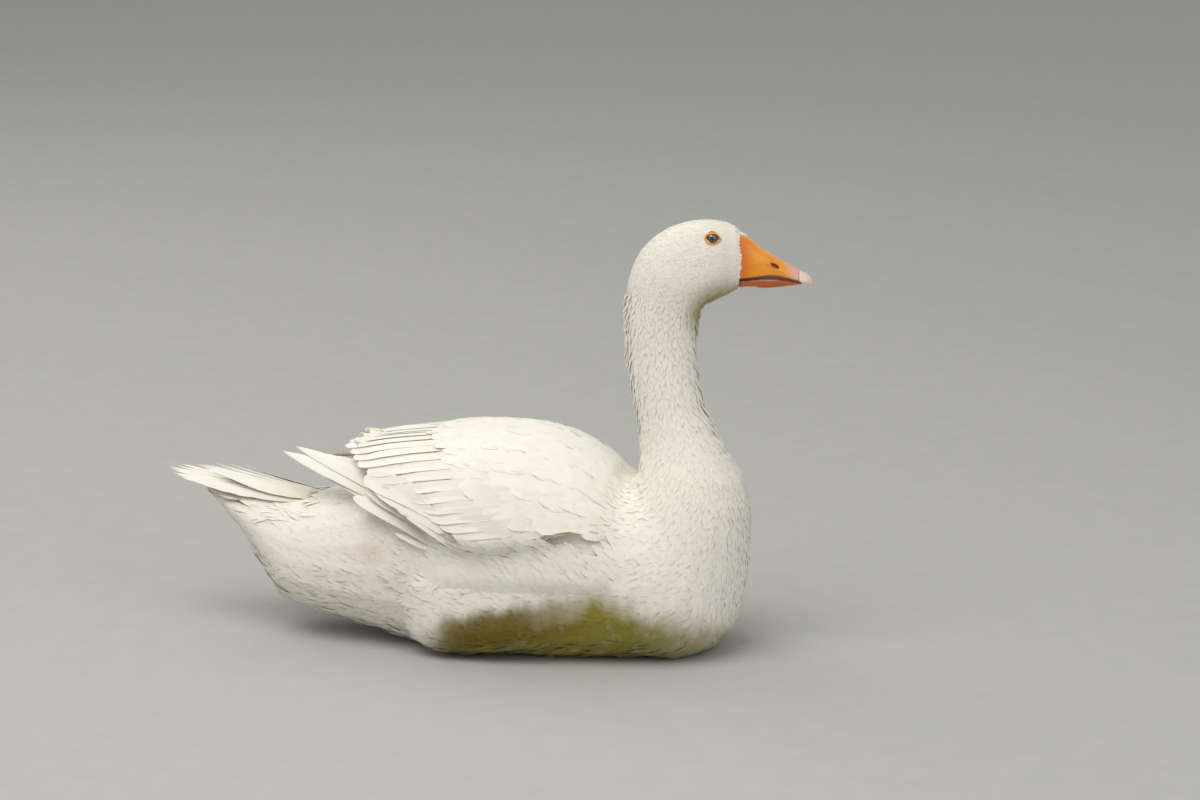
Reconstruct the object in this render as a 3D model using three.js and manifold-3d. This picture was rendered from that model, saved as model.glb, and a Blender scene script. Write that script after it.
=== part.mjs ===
// A white domestic goose at rest on the ground, life size, as a museum's still model.
//
// Units are millimetres. +X runs forward to the bill, +Y to the goose's left and +Z up.
// The origin is on the ground under the middle of the bird. The belly, the thighs and the
// feet tucked under them all rest at z = 0. The head turns a few degrees to the left.
//
// One loft runs from the vent along the trunk, up the neck and over the head. Thin flat cuts part
// it into trunk, neck and head. The wings are shells laid over the trunk, and the wing tips and
// the tail are fans of single feather blades.
import * as THREE from 'three';
import { mergeVertices } from 'three/addons/utils/BufferGeometryUtils.js';
import Module from 'manifold-3d';

const wasm = await Module();
wasm.setup();

// ---- Driving dimensions ------------------------------------------------------------------

const GAP = 0.35;                 // free space between two nodes that touch in life
const REACH = 1000;               // a cutter's size, larger than the bird
const BODY_SEGMENTS = 22;         // points round each ring of the body
const BODY_RINGS = 45;

const HEAD_YAW = 10;              // degrees, to the goose's left
const NECK_AXIS_X = 177;          // the upright line that the head turns about
const YAW_FROM_Z = 225, YAW_TO_Z = 335;

const EYE = { x: 229.4, y: 14.8, z: 432.2, radius: 7.6 };      // in the head's own frame
const BILL_BASE_X = 257;
const NAIL_X = 318;

// The body's stations, from the vent to the bill's base. The back is a point on the dorsal
// outline and the belly its partner on the ventral one; half is the half width, waist tells how
// far up from belly to back the section is widest, and power its squareness (2 is an ellipse).
const BODY = [
  // back x, z     belly x, z   half  waist power
  [-312, 150,     -309, 143,     11,  0.55, 2.0],   // tip of the under-tail coverts
  [-290, 149,     -287, 123,     28,  0.60, 2.0],
  [-262, 145,     -259,  90,     43,  0.60, 2.0],
  [-226, 143,     -238,  56,     57,  0.54, 2.1],   // vent
  [-184, 146,     -217,  30,     70,  0.47, 2.2],
  [-140, 161,     -168,  18,     82,  0.45, 2.3],
  [ -92, 184,     -104,   4,     94,  0.45, 2.35],  // paunch
  [ -36, 202,      -46,  -9,    109,  0.44, 2.5],
  [  28, 209,       24, -11,    116,  0.43, 2.65],
  [  84, 199,       96, -11,    115,  0.44, 2.6],
  [ 122, 186,      164,  -8,    109,  0.47, 2.4],
  [ 141, 178,      221,  -7,    101,  0.50, 2.3],   // keel of the breast
  [ 149, 177,      257,  22,     92,  0.52, 2.25],
  [ 153, 180,      269,  70,     82,  0.52, 2.1],
  [ 155, 187,      273, 124,     73,  0.52, 2.1],   // front of the breast
  [ 156, 197,      269, 171,     62,  0.51, 2.0],
  [ 156.5, 213,    248.5, 209,   48,  0.50, 2.0],   // foot of the neck
  [ 154.5, 240,    227, 246,     38,  0.50, 2.0],
  [ 147, 276,      217.5, 283,   34,  0.50, 2.0],
  [ 142, 310,      215, 313,     31,  0.50, 2.0],
  [ 140.5, 340,    215.5, 335,   30,  0.50, 2.0],   // top of the neck
  [ 140.5, 364,    218, 350,     30,  0.48, 2.0],   // throat
  [ 146, 393,      221.5, 358.5, 31,  0.45, 2.05],
  [ 158, 418,      227, 363,     31,  0.42, 2.1],   // back of the crown
  [ 181, 438,      234, 366.5,   29.5, 0.40, 2.15],
  [ 209, 447.5,    241.5, 369.5, 27,  0.40, 2.2],   // cheek and eye
  [ 232, 448.5,    248, 372.5,   23.5, 0.40, 2.2],
  [ 248, 445,      253, 375,     19.5, 0.42, 2.15],
  [ 257, 437.5,    257, 377,     16.5, 0.44, 2.1],  // the bill's base
];
const NECK_STATION = 15.6, HEAD_STATION = 21.5;    // where the thin cuts lie, in stations

// The wing's outer surface, as rings round the trunk: x, top z, half width, height of the widest
// point, squareness. It sinks into the trunk at the shoulder.
const WING_RINGS = [
  [ 172, 160,  84, 112, 2.3],
  [ 152, 169,  97, 112, 2.3],
  [ 128, 191, 110, 112, 2.3],
  [ 100, 211, 119, 112, 2.35],
  [  50, 227, 126, 112, 2.45],
  [ -10, 228, 127, 112, 2.5],
  [ -60, 220, 121, 114, 2.5],
  [-105, 212, 106, 118, 2.5],
  [-145, 204,  84, 124, 2.5],
];
const WING_THICKNESS = 13;
const WING_SPLIT = 1;             // half the groove between the wings along the back
// The wing's outline from the side, x and z: from the shoulder round the bend, along the lower
// edge, up the tips of the secondaries and on to the back.
const WING_OUTLINE = [
  [176, 150], [166, 137], [150, 132], [126, 140], [100, 140], [56, 130], [14, 125], [-6, 127],
  [-29, 137], [-50, 147], [-70, 157], [-88, 165], [-104, 175], [-116, 190], [-118, 214],
];

// Feather blades. Each has a root, a tip, the half width of its vane and its thickness.
const PRIMARIES = { halfWidth: 12, thickness: 4.5 };
const PRIMARY_TIPS = [      // lowest first
  [-176, -50, 183], [-205, -34, 199], [-195, -30, 203], [-171, -26, 194], [-155, -22, 188],
];
const TERTIALS = { count: 4, halfWidth: 14, thickness: 4.5 };
const TAIL = { count: 7, halfWidth: 13, thickness: 3.2, spread: 14, length: 142, rootX: -205,
  rootZ: 145, rise: 12, droop: 13, taper: 0.26 };

const FOOT = { y: 46, hockX: -66, ankleX: 22, shank: 6.2, toeLength: 62, toeSpread: 20, toe: 4.6,
  web: 3.0 };
const THIGH = { x: 18, y: 72, z: 60, length: 97, width: 47, height: 55, slope: 6, blunt: 0.65 };

// ---- Solids from points -------------------------------------------------------------------

const V = (x, y, z) => new THREE.Vector3(x, y, z);
const radians = THREE.MathUtils.degToRad;
const power = (value, exponent) => Math.sign(value) * Math.abs(value) ** exponent;
const range = (count, make) => Array.from({ length: count }, (_, k) => make(k));

function middleOf(ring) {
  return ring.reduce((sum, p) => sum.addScaledVector(p, 1 / ring.length), V(0, 0, 0));
}

// Closed rings of equal length, joined in order, with a fan over each end.
function loft(rings) {
  const segments = rings[0].length;
  const points = rings.flat();
  const index = [];
  for (let r = 0; r + 1 < rings.length; r++)
    for (let k = 0; k < segments; k++) {
      const a = r * segments + k, b = r * segments + (k + 1) % segments;
      index.push(a, b, b + segments, a, b + segments, a + segments);
    }
  for (const [ring, first, facing] of [[rings[0], 0, -1],
    [rings.at(-1), (rings.length - 1) * segments, 1]]) {
    const c = points.push(middleOf(ring)) - 1;
    for (let k = 0; k < segments; k++) {
      const a = first + k, b = first + (k + 1) % segments;
      index.push(...(facing < 0 ? [b, a, c] : [a, b, c]));
    }
  }
  return new THREE.BufferGeometry().setFromPoints(points).setIndex(index);
}

// A geometry as a manifold solid, whichever way round its faces were listed.
function solid(geometry) {
  const bare = geometry.clone();
  bare.deleteAttribute('normal');
  bare.deleteAttribute('uv');
  const merged = mergeVertices(bare, 1e-4);
  const triVerts = new Uint32Array(merged.index.array);
  const vertProperties = new Float32Array(merged.attributes.position.array);
  const make = () => new wasm.Manifold(new wasm.Mesh({ numProp: 3, vertProperties, triVerts }));
  let made = make();
  if (made.volume() < 0) {
    for (let i = 0; i < triVerts.length; i += 3)
      [triVerts[i + 1], triVerts[i + 2]] = [triVerts[i + 2], triVerts[i + 1]];
    made = make();
  }
  return made;
}

const bySize = (solids) => solids.sort((a, b) => b.volume() - a.volume());
const largest = (made) => bySize(made.decompose())[0];
const join = (solids) => solids.reduce((sum, next) => sum.add(next));
const mirrored = (made) => made.mirror([0, 1, 0]);

function box(x0, x1, y0, y1, z0, z1) {
  return solid(new THREE.BoxGeometry(x1 - x0, y1 - y0, z1 - z0)
    .translate((x0 + x1) / 2, (y0 + y1) / 2, (z0 + z1) / 2));
}

// Everything above the ground.
const aboveGround = box(-REACH, REACH, -REACH, REACH, 0, REACH);

// A row between the rows of a table of stations, by Catmull-Rom on each column.
function between(rows, t) {
  const i = Math.min(Math.floor(t), rows.length - 2), f = t - i;
  const at = (k) => rows[THREE.MathUtils.clamp(k, 0, rows.length - 1)];
  return rows[0].map((_, c) => {
    const [a, b, d, e] = [at(i - 1)[c], at(i)[c], at(i + 1)[c], at(i + 2)[c]];
    const slopeB = (d - a) / 2, slopeD = (e - b) / 2;
    return (2 * f ** 3 - 3 * f ** 2 + 1) * b + (f ** 3 - 2 * f ** 2 + f) * slopeB
      + (3 * f ** 2 - 2 * f ** 3) * d + (f ** 3 - f ** 2) * slopeD;
  });
}
const sampled = (rows, steps) => range(steps + 1, (k) => between(rows, (rows.length - 1) * k / steps));

// Turns a point with the head: nothing at the foot of the neck, and all of it at the top.
function turned(p, z = p.z) {
  const share = THREE.MathUtils.smoothstep(z, YAW_FROM_Z, YAW_TO_Z);
  const angle = radians(HEAD_YAW) * share;
  const dx = p.x - NECK_AXIS_X;
  return V(NECK_AXIS_X + dx * Math.cos(angle) - p.y * Math.sin(angle),
    dx * Math.sin(angle) + p.y * Math.cos(angle), p.z);
}

// ---- The body -----------------------------------------------------------------------------

function bodyRing(t, grow) {
  const [backX, backZ, bellyX, bellyZ, half, waist, squareness] = between(BODY, t);
  const back = V(backX, 0, backZ), belly = V(bellyX, 0, bellyZ);
  const up = back.clone().sub(belly);
  const tall = up.length();
  up.normalize();
  const centre = belly.clone().addScaledVector(up, waist * tall);
  return range(BODY_SEGMENTS, (k) => {
    const a = (k / BODY_SEGMENTS) * 2 * Math.PI;
    const reach = (Math.sin(a) > 0 ? 1 - waist : waist) * tall + grow;
    const p = centre.clone().addScaledVector(up, reach * power(Math.sin(a), 2 / squareness));
    p.y = (half + grow) * power(Math.cos(a), 2 / squareness);
    return turned(p, centre.z);
  });
}

const lastStation = BODY.length - 1;
function body(grow) {
  return solid(loft(range(BODY_RINGS, (k) => bodyRing(lastStation * k / (BODY_RINGS - 1), grow))));
}

// A thin plate in the plane of one station, which parts the body there.
function cutAt(t) {
  const ring = bodyRing(t, REACH / 10);
  const centre = middleOf(ring);
  const [side, top] = [ring[0], ring[Math.round(BODY_SEGMENTS / 4)]].map((p) => p.clone().sub(centre));
  const normal = V(0, 0, 0).crossVectors(side, top).normalize();
  const face = (shift) => ring.map((p) => p.clone().addScaledVector(normal, shift));
  return solid(loft([face(-GAP / 2), face(GAP / 2)]));
}

const [trunkWhole, neck, headWhole] = body(0).subtract(cutAt(NECK_STATION)).subtract(cutAt(HEAD_STATION))
  .decompose().sort((a, b) => a.boundingBox().max[2] - b.boundingBox().max[2]);
const bodyGrown = body(GAP);

// ---- Head, eyes and bill ------------------------------------------------------------------

function inHead(geometry) {
  return solid(geometry).translate([-NECK_AXIS_X, 0, 0]).rotate([0, 0, HEAD_YAW])
    .translate([NECK_AXIS_X, 0, 0]);
}
const eyeball = (side, grow = 0) => inHead(new THREE.SphereGeometry(EYE.radius + grow, 12, 8)
  .translate(EYE.x, side * EYE.y, EYE.z));
const eyes = { left: eyeball(1), right: eyeball(-1) };
const head = headWhole.subtract(eyeball(1, GAP)).subtract(eyeball(-1, GAP));

// Upper bill: x, height of the ridge, height of the cutting edge, half width at the edge, and how
// far up the side stays wide. The edge lifts in the middle, as a goose's grin does.
const UPPER_BILL = [
  [257,   436.5, 390.3, 16.8, 0.50],
  [265,   432.3, 391.0, 16.6, 0.48],
  [272,   426.6, 391.8, 16.2, 0.45],
  [279,   419.8, 392.8, 15.6, 0.42],
  [289,   414.4, 393.6, 14.6, 0.36],
  [299,   407.9, 392.4, 13.6, 0.34],
  [309,   402.2, 389.8, 12.6, 0.36],
  [319,   396.6, 386.6, 11.2, 0.40],
  [326,   393.2, 384.2,  9.0, 0.45],
  [330.5, 389.2, 381.8,  6.0, 0.50],
  [332.8, 384.4, 380.2,  2.4, 0.50],
];
// Lower bill: x, height of its rim, height of its underside, half width.
const LOWER_BILL = [
  [255,   387.4, 371.0, 14.0],
  [266,   388.0, 374.4, 13.4],
  [276,   388.6, 376.8, 12.6],
  [286,   389.0, 378.4, 12.0],
  [299,   388.4, 379.8, 11.2],
  [311,   386.6, 381.6,  9.8],
  [321,   385.0, 382.8,  7.0],
];
const BILL_SEGMENTS = 10;

// A bill section: flat below, and above it an arch that narrows to the ridge.
function billRing([x, ridge, edge, half, shoulder]) {
  const arch = range(BILL_SEGMENTS + 1, (k) => {
    const a = (k / BILL_SEGMENTS) * Math.PI;
    const rise = Math.sin(a) ** (1.25 - shoulder / 2);
    return V(x, half * power(Math.cos(a), 0.85 - shoulder / 3), edge + (ridge - edge) * rise);
  });
  const floor = [-0.5, 0.5].map((s) => V(x, s * half, edge + 0.4));
  return [...arch, ...floor];
}

// The lower bill is a shallow boat.
function jawRing([x, rim, under, half]) {
  const hull = range(7, (k) => {
    const a = (k / 6) * Math.PI;
    return V(x, -half * Math.cos(a), rim - (rim - under) * Math.sin(a) ** 0.7);
  });
  return [...hull, V(x, 0.4 * half, rim - 0.5), V(x, -0.4 * half, rim - 0.5)];
}

// A block across the head from one x to another.
const slab = (x0, x1) => inHead(new THREE.BoxGeometry(x1 - x0, REACH, REACH)
  .translate((x0 + x1) / 2, 0, REACH / 2));
const upperWhole = inHead(loft(sampled(UPPER_BILL, 15).map(billRing)));
const lowerWhole = inHead(loft(sampled(LOWER_BILL, 9).map(jawRing)));
const behindBill = slab(BILL_BASE_X - REACH, BILL_BASE_X + GAP);
const [billUpper, billNail] = bySize(upperWhole.subtract(behindBill)
  .subtract(slab(NAIL_X, NAIL_X + GAP)).decompose());
const billLower = largest(lowerWhole.subtract(behindBill)
  .subtract(upperWhole.translate([0, 0, -GAP])).subtract(upperWhole));

// ---- Feather blades -----------------------------------------------------------------------

// The blade's width along its length, as shares of the whole: narrow root, round tip.
const BLADE_SHAPE = [[0, 0.75], [0.4, 0.9], [0.72, 1], [0.9, 0.72], [1, 0.12]];

// One flat feather from root to tip, lozenge in section, with its face towards out.
function blade(root, tip, out, { halfWidth, thickness }, bow = 0) {
  const along = tip.clone().sub(root);
  const length = along.length();
  along.normalize();
  const across = V(0, 0, 0).crossVectors(along, out).normalize();
  const face = V(0, 0, 0).crossVectors(across, along).normalize();
  return solid(loft(BLADE_SHAPE.map(([s, wide]) => {
    const centre = root.clone().addScaledVector(along, s * length)
      .addScaledVector(face, bow * Math.sin(Math.PI * s));
    const thin = thickness * (1 - 0.6 * s);
    return [[1, 0], [0, 0.5], [-1, 0], [0, -0.5]].map(([w, h]) => centre.clone()
      .addScaledVector(across, w * halfWidth * wide).addScaledVector(face, h * thin));
  })));
}

// ---- Wings, built for the right side (-Y) -------------------------------------------------

function wingRing([x, top, half, widest, squareness], shrink) {
  return range(BODY_SEGMENTS, (k) => {
    const a = (k / BODY_SEGMENTS) * 2 * Math.PI;
    const reach = Math.sin(a) > 0 ? top - widest : widest;
    return V(x, (half - shrink) * power(Math.cos(a), 2 / squareness),
      widest + (reach - shrink) * power(Math.sin(a), 2 / squareness));
  });
}
const wingEnvelope = (shrink) => solid(loft(sampled(WING_RINGS, 16).map((row) => wingRing(row, shrink))));

// A prism of the wing's outline, from the midline out to the right; grow widens it all round.
function wingPrism(grow) {
  const outline = WING_OUTLINE.map(([x, z], k) => {
    const [x0, z0] = WING_OUTLINE[Math.max(k - 1, 0)];
    const [x1, z1] = WING_OUTLINE[Math.min(k + 1, WING_OUTLINE.length - 1)];
    const long = Math.hypot(x1 - x0, z1 - z0);
    return new THREE.Vector2(x - grow * (z1 - z0) / long, z + grow * (x1 - x0) / long);
  });
  const [rear, front] = [outline.at(-1), outline[0]];
  const high = [new THREE.Vector2(rear.x, REACH), new THREE.Vector2(front.x, REACH)];
  const shape = new THREE.Shape([...outline, ...high]);
  const prism = new THREE.ExtrudeGeometry(shape, { depth: REACH / 4, bevelEnabled: false });
  return solid(prism.rotateX(Math.PI / 2)).translate([0, -WING_SPLIT, 0]);
}
const hollow = wingEnvelope(WING_THICKNESS).intersect(box(-REACH, -20, -REACH, REACH, 0, REACH));
const shell = wingEnvelope(0).intersect(wingPrism(0)).subtract(hollow).subtract(bodyGrown);

// Tertials reach back past the shell, over the rump. The first lies nearest the midline.
const tertials = join(range(TERTIALS.count, (k) => {
  const s = k / (TERTIALS.count - 1);
  const root = V(-78 + 6 * s, -20 - 54 * s, 208 - 14 * s);
  const tip = V(-142 - 30 * s * (1 - s) + 25 * s * s, -8 - 40 * s, 211 - 13 * s);
  return blade(root, tip, V(0, -0.35 - 0.5 * s, 1), TERTIALS);
}));
const rightHalf = box(-REACH, REACH, -REACH, -WING_SPLIT, 0, REACH);
const wingRight = largest(shell.add(tertials.subtract(bodyGrown).intersect(rightHalf)));

// The primaries come out from under the secondaries and close over the rump.
const wingCover = wingEnvelope(-GAP).intersect(wingPrism(GAP));
const primaries = join(PRIMARY_TIPS.map((tip, k) => {
  const s = k / (PRIMARY_TIPS.length - 1);
  const root = V(-24 - 24 * s, -115 + 15 * s, 119 + 33 * s);
  return blade(root, V(...tip), V(-0.1, -0.8, 0.75), PRIMARIES, 15 - 11 * s);
}));
const primariesRight = largest([GAP, 0, -GAP].reduce(
  (left, lift) => left.subtract(tertials.translate([0, 0, lift])),
  primaries.intersect(rightHalf).subtract(bodyGrown).subtract(wingCover)));

// ---- Tail ---------------------------------------------------------------------------------

// A fan of blades, highest in the middle; grow swells each blade, for the slot they lie in.
function tailFan(grow) {
  const form = { halfWidth: TAIL.halfWidth + grow, thickness: TAIL.thickness + 3 * grow };
  return join(range(TAIL.count, (k) => {
    const s = (2 * k) / (TAIL.count - 1) - 1;
    const angle = radians(TAIL.spread) * s;
    const length = TAIL.length * (1 - TAIL.taper * s * s);
    const sink = TAIL.droop * s * s;
    const root = V(TAIL.rootX + grow, 16 * s, TAIL.rootZ - 0.3 * sink + 0.6 * (1 - Math.abs(s)));
    const tip = V(TAIL.rootX - length * Math.cos(angle), 16 * s + length * Math.sin(angle),
      TAIL.rootZ + TAIL.rise - sink);
    return blade(root, tip, V(0, 0.5 * s, 1), form);
  }));
}
const tail = tailFan(0);

// ---- Legs ---------------------------------------------------------------------------------

// A round bar that tapers from one radius to another and has blunt ends.
function bar(from, to, r0, r1) {
  const along = to.clone().sub(from).normalize();
  const side = V(-along.y, along.x, 0).normalize();
  const ring = (centre, shift, r) => range(6, (k) => {
    const a = (k / 6) * 2 * Math.PI;
    return centre.clone().addScaledVector(along, shift).addScaledVector(side, r * Math.cos(a))
      .addScaledVector(V(0, 0, 1), r * Math.sin(a));
  });
  return solid(loft([ring(from, -0.8 * r0, 0.5 * r0), ring(from, 0, r0), ring(to, 0, r1),
    ring(to, 0.8 * r1, 0.5 * r1)]));
}

// A foot lies flat under the belly: the shank behind, three webbed toes in front.
function footRight(grow) {
  const y = -FOOT.y, low = 0.8;   // an axis lies this share of its radius above the ground
  const shank = FOOT.shank + grow, toe = FOOT.toe + grow;
  const ankle = V(FOOT.ankleX, y, low * FOOT.toe);
  const tips = [-1, 0, 1].map((s) => {
    const angle = radians(FOOT.toeSpread * s - 4);
    const length = FOOT.toeLength * (s === 0 ? 1.12 : 1 - 0.07 * (s + 1));
    return ankle.clone().add(V(length * Math.cos(angle), length * Math.sin(angle), -0.24 * FOOT.toe));
  });
  const hock = V(FOOT.hockX, y + 6, low * FOOT.shank);
  const hindToe = [V(FOOT.ankleX - 4, y + 4, 3), V(FOOT.ankleX - 16, y + 12, 2.4)];
  const notch = (a, b) => new THREE.Vector2(tips[1].x - 10, (a.y + b.y) / 2);
  const corner = (p, out) => new THREE.Vector2(p.x + grow, p.y + grow * out);
  const web = new THREE.Shape([corner(ankle, 0), corner(tips[0], -1), notch(tips[0], tips[1]),
    corner(tips[1], 0), notch(tips[1], tips[2]), corner(tips[2], 1)]);
  return join([
    bar(hock, V(ankle.x, y, low * FOOT.shank), shank * 1.15, shank * 0.9),
    ...tips.map((tip) => bar(ankle, tip, toe, toe * 0.6)),
    bar(...hindToe, toe * 0.7, toe * 0.45),
    solid(new THREE.ExtrudeGeometry(web, { depth: FOOT.web + grow, bevelEnabled: false })),
  ]);
}
const foot = footRight(0).intersect(aboveGround);
const pocketWhole = footRight(GAP + 0.5);
const footPocket = pocketWhole.add(pocketWhole.translate([0, 0, -4]));

// The thigh's feathers are a blunt lobe on the flank.
function thighLobe() {
  const lobe = new THREE.SphereGeometry(1, 16, 10);
  const position = lobe.attributes.position;
  for (let i = 0; i < position.count; i++) {
    const [x, y, z] = [position.getX(i), position.getY(i), position.getZ(i)];
    position.setXYZ(i, power(x, THIGH.blunt), power(y, THIGH.blunt), power(z, THIGH.blunt));
  }
  return solid(lobe.scale(THIGH.length, THIGH.width, THIGH.height).rotateY(radians(-THIGH.slope))
    .translate(THIGH.x, -THIGH.y, THIGH.z));
}
const thighRight = largest(thighLobe().intersect(aboveGround).subtract(bodyGrown)
  .subtract(wingCover).subtract(primaries.translate([0, 0, -GAP])).subtract(primaries));

const trunk = largest(trunkWhole.intersect(aboveGround).subtract(tailFan(2 * GAP))
  .subtract(footPocket).subtract(mirrored(footPocket)));

// ---- The group ----------------------------------------------------------------------------

function meshOf(made) {
  const { numProp, vertProperties, triVerts } = made.getMesh();
  const count = vertProperties.length / numProp;
  const position = new Float32Array(count * 3);
  for (let i = 0; i < count; i++)
    position.set(vertProperties.subarray(i * numProp, i * numProp + 3), i * 3);
  const geometry = new THREE.BufferGeometry();
  geometry.setAttribute('position', new THREE.BufferAttribute(position, 3));
  geometry.setIndex(new THREE.BufferAttribute(new Uint32Array(triVerts), 1));
  geometry.computeVertexNormals();
  return geometry;
}

const finish = (color, roughness) => new THREE.MeshStandardMaterial({ color, roughness, metalness: 0 });
const LOOKS = {
  plumage: finish(0xf1ede2, 0.85),
  bill: finish(0xe8871e, 0.45),
  nail: finish(0xe6cbbb, 0.4),
  eye: finish(0x59616c, 0.08),
  foot: finish(0xe07c25, 0.6),
};

const group = new THREE.Group();
function place(name, made, look) {
  const mesh = new THREE.Mesh(meshOf(made), LOOKS[look]);
  mesh.name = name;
  group.add(mesh);
}
place('trunk', trunk, 'plumage');
place('neck', neck, 'plumage');
place('head', head, 'plumage');
place('bill_upper', billUpper, 'bill');
place('bill_lower', billLower, 'bill');
place('bill_nail', billNail, 'nail');
place('tail', tail, 'plumage');
place('eye_left', eyes.left, 'eye');
place('eye_right', eyes.right, 'eye');
for (const [part, made, look] of [
  ['wing', wingRight, 'plumage'],
  ['primaries', primariesRight, 'plumage'],
  ['thigh', thighRight, 'plumage'],
  ['foot', foot, 'foot'],
]) {
  place(`${part}_right`, made, look);
  place(`${part}_left`, mirrored(made), look);
}

export default group;
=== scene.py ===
"""The looks of a white domestic goose at rest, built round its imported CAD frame.

Everything is in metres in the frame's own axes: +X runs forward to the bill, +Y to the goose's
left and +Z up. One remeshed skin stands for the nodes of flesh and lies inside them by the depth
of the coat. The coat is solid vanes over that skin: traced over its surface where they are
small, and laid one by one where they are the long feathers of the wings and the tail.
"""
import math

import bpy
import numpy as np
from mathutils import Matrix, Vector, noise
from mathutils.bvhtree import BVHTree
from mathutils.kdtree import KDTree


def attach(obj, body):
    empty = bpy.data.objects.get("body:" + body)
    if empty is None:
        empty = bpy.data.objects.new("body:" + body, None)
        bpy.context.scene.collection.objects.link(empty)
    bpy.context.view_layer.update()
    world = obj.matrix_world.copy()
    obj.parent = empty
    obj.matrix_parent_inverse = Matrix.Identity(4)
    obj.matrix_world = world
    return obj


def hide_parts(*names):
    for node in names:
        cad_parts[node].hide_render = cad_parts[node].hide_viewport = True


MM = 0.001
SIDES = {"right": -1, "left": 1}
random = np.random.default_rng(2420)

# ---- Driving dimensions, in millimetres where a name ends in _MM ----------------------------

# The spine: points on the back and the belly whose joining lines are the body's sections,
# from the vent to the bill. Feathers run from section to section towards the tail.
SPINE_MM = np.array([
    # back x, z   belly x, z
    [-312, 150, -309, 143], [-262, 145, -259, 90], [-226, 143, -238, 56], [-184, 146, -217, 30],
    [-140, 161, -168, 13], [-92, 184, -104, 1], [-36, 202, -46, -9], [28, 209, 24, -11],
    [84, 199, 96, -11], [122, 186, 164, -8], [141, 178, 221, -7], [149, 177, 257, 22],
    [155, 187, 273, 124], [156.5, 213, 248.5, 209], [147, 276, 217.5, 283],
    [140.5, 340, 215.5, 335], [146, 393, 221.5, 358.5], [158, 418, 227, 363],
    [181, 438, 234, 366.5], [209, 447.5, 241.5, 369.5], [232, 448.5, 248, 372.5],
    [257, 437.5, 257, 377], [285, 416, 285, 378],
])
SPINE_STEPS = 8                    # sections between two rows of the table
SPINE_MIDDLE = 0.45                # where a section's middle lies, from belly to back

HEAD_YAW = math.radians(10)        # the head's turn to the left, about an upright line in the neck
NECK_AXIS_X = 0.177
YAW_FROM_Z, YAW_TO_Z = 0.225, 0.335

# The wings' outer surface: x, height of the top, half width. Its middle is at WING_MIDDLE_Z.
WING_SURFACE_MM = np.array([
    [-145, 204, 84], [-105, 212, 106], [-60, 220, 121], [-10, 228, 127], [50, 227, 126],
    [100, 211, 119], [128, 191, 110], [152, 169, 97], [172, 160, 84],
])
WING_MIDDLE_Z = 0.112
WING_SQUARENESS = 2.45

EYE_MM = (229.4, 14.8, 432.2)      # x, half the space between the eyes, z, in the head's axes
EYE_RADIUS = 7.6 * MM

SKIN_VOXEL = 2.6 * MM
COAT_DEPTH = {"head": 0.9 * MM, "neck": 1.8 * MM, "body": 2.2 * MM}
# Where the face's feathers end on the bill's side, as z and x; on its ridge and under its chin.
FACE_EDGE_MM = np.array([[372, 257.2], [382, 257.2], [392, 258.8], [404, 260.0], [417, 259.8],
                         [424, 257.8], [430, 258.0]])
FOREHEAD_POINT_X = 266.5
CHIN_POINT_X = 280
FURROWS = 23                       # round the neck
FLANK_SWELL = 4.6 * MM             # how much the flank's ground swells to fill the crease
FLANK_SINK = 7.8 * MM              # how far the flank's ground sinks to the skin round its border
# The flank's loose feathers start below this line, under the wing's edge: x and z.
FLANK_TOP_MM = np.array([[-45, 112], [0, 117], [60, 118], [90, 120], [110, 117], [135, 108],
                         [160, 112], [175, 116]])
UNWRAP_MARGIN, UNWRAP_WIDE, UNWRAP_TALL = 0.02, 0.92, 0.95
OF_PATCH = 0.003                   # a tuft's size on the OFBake map
FLOOR_GAP = 0.1 * MM               # the lowest feather's height over the floor

FLESH = ["trunk", "neck", "head", "wing_right", "wing_left", "thigh_right", "thigh_left"]


# ---- Small helpers --------------------------------------------------------------------------

def unit(vectors):
    """The vectors at length one."""
    return vectors / np.maximum(np.linalg.norm(vectors, axis=-1, keepdims=True), 1e-12)


def smoothstep(low, high, value):
    """0 below low, 1 above high, smooth between."""
    t = np.clip((value - low) / (high - low), 0, 1)
    return t * t * (3 - 2 * t)


def dot(a, b):
    return np.sum(a * b, axis=-1, keepdims=True)


def laid(ways, normals):
    """The ways turned along a surface with these normals."""
    return unit(ways - normals * dot(ways, normals))


def yaw_by(points, angle):
    """Points turned about the neck's upright line, each by its own angle."""
    dx, y = points[:, 0] - NECK_AXIS_X, points[:, 1]
    turned = points.copy()
    turned[:, 0] = NECK_AXIS_X + dx * np.cos(angle) - y * np.sin(angle)
    turned[:, 1] = dx * np.sin(angle) + y * np.cos(angle)
    return turned


def head_share(points):
    """How much of the head's turn each point has."""
    return smoothstep(YAW_FROM_Z, YAW_TO_Z, points[:, 2])


def to_head(points):
    """Points in the head's own axes."""
    return yaw_by(points, -HEAD_YAW)


def from_head(points):
    """The way back from the head's own axes."""
    return yaw_by(np.asarray(points, float), HEAD_YAW)


def mesh_arrays(mesh):
    """A mesh's vertices and triangles as arrays."""
    vertices = np.empty(len(mesh.vertices) * 3)
    mesh.vertices.foreach_get("co", vertices)
    mesh.calc_loop_triangles()
    triangles = np.empty(len(mesh.loop_triangles) * 3, dtype=np.int64)
    mesh.loop_triangles.foreach_get("vertices", triangles)
    return vertices.reshape(-1, 3), triangles.reshape(-1, 3)


def vertex_normals(vertices, triangles):
    """Normals weighted by area."""
    corners = vertices[triangles]
    face = np.cross(corners[:, 1] - corners[:, 0], corners[:, 2] - corners[:, 0])
    normals = np.zeros_like(vertices)
    for k in range(3):
        np.add.at(normals, triangles[:, k], face)
    return unit(normals)


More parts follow.
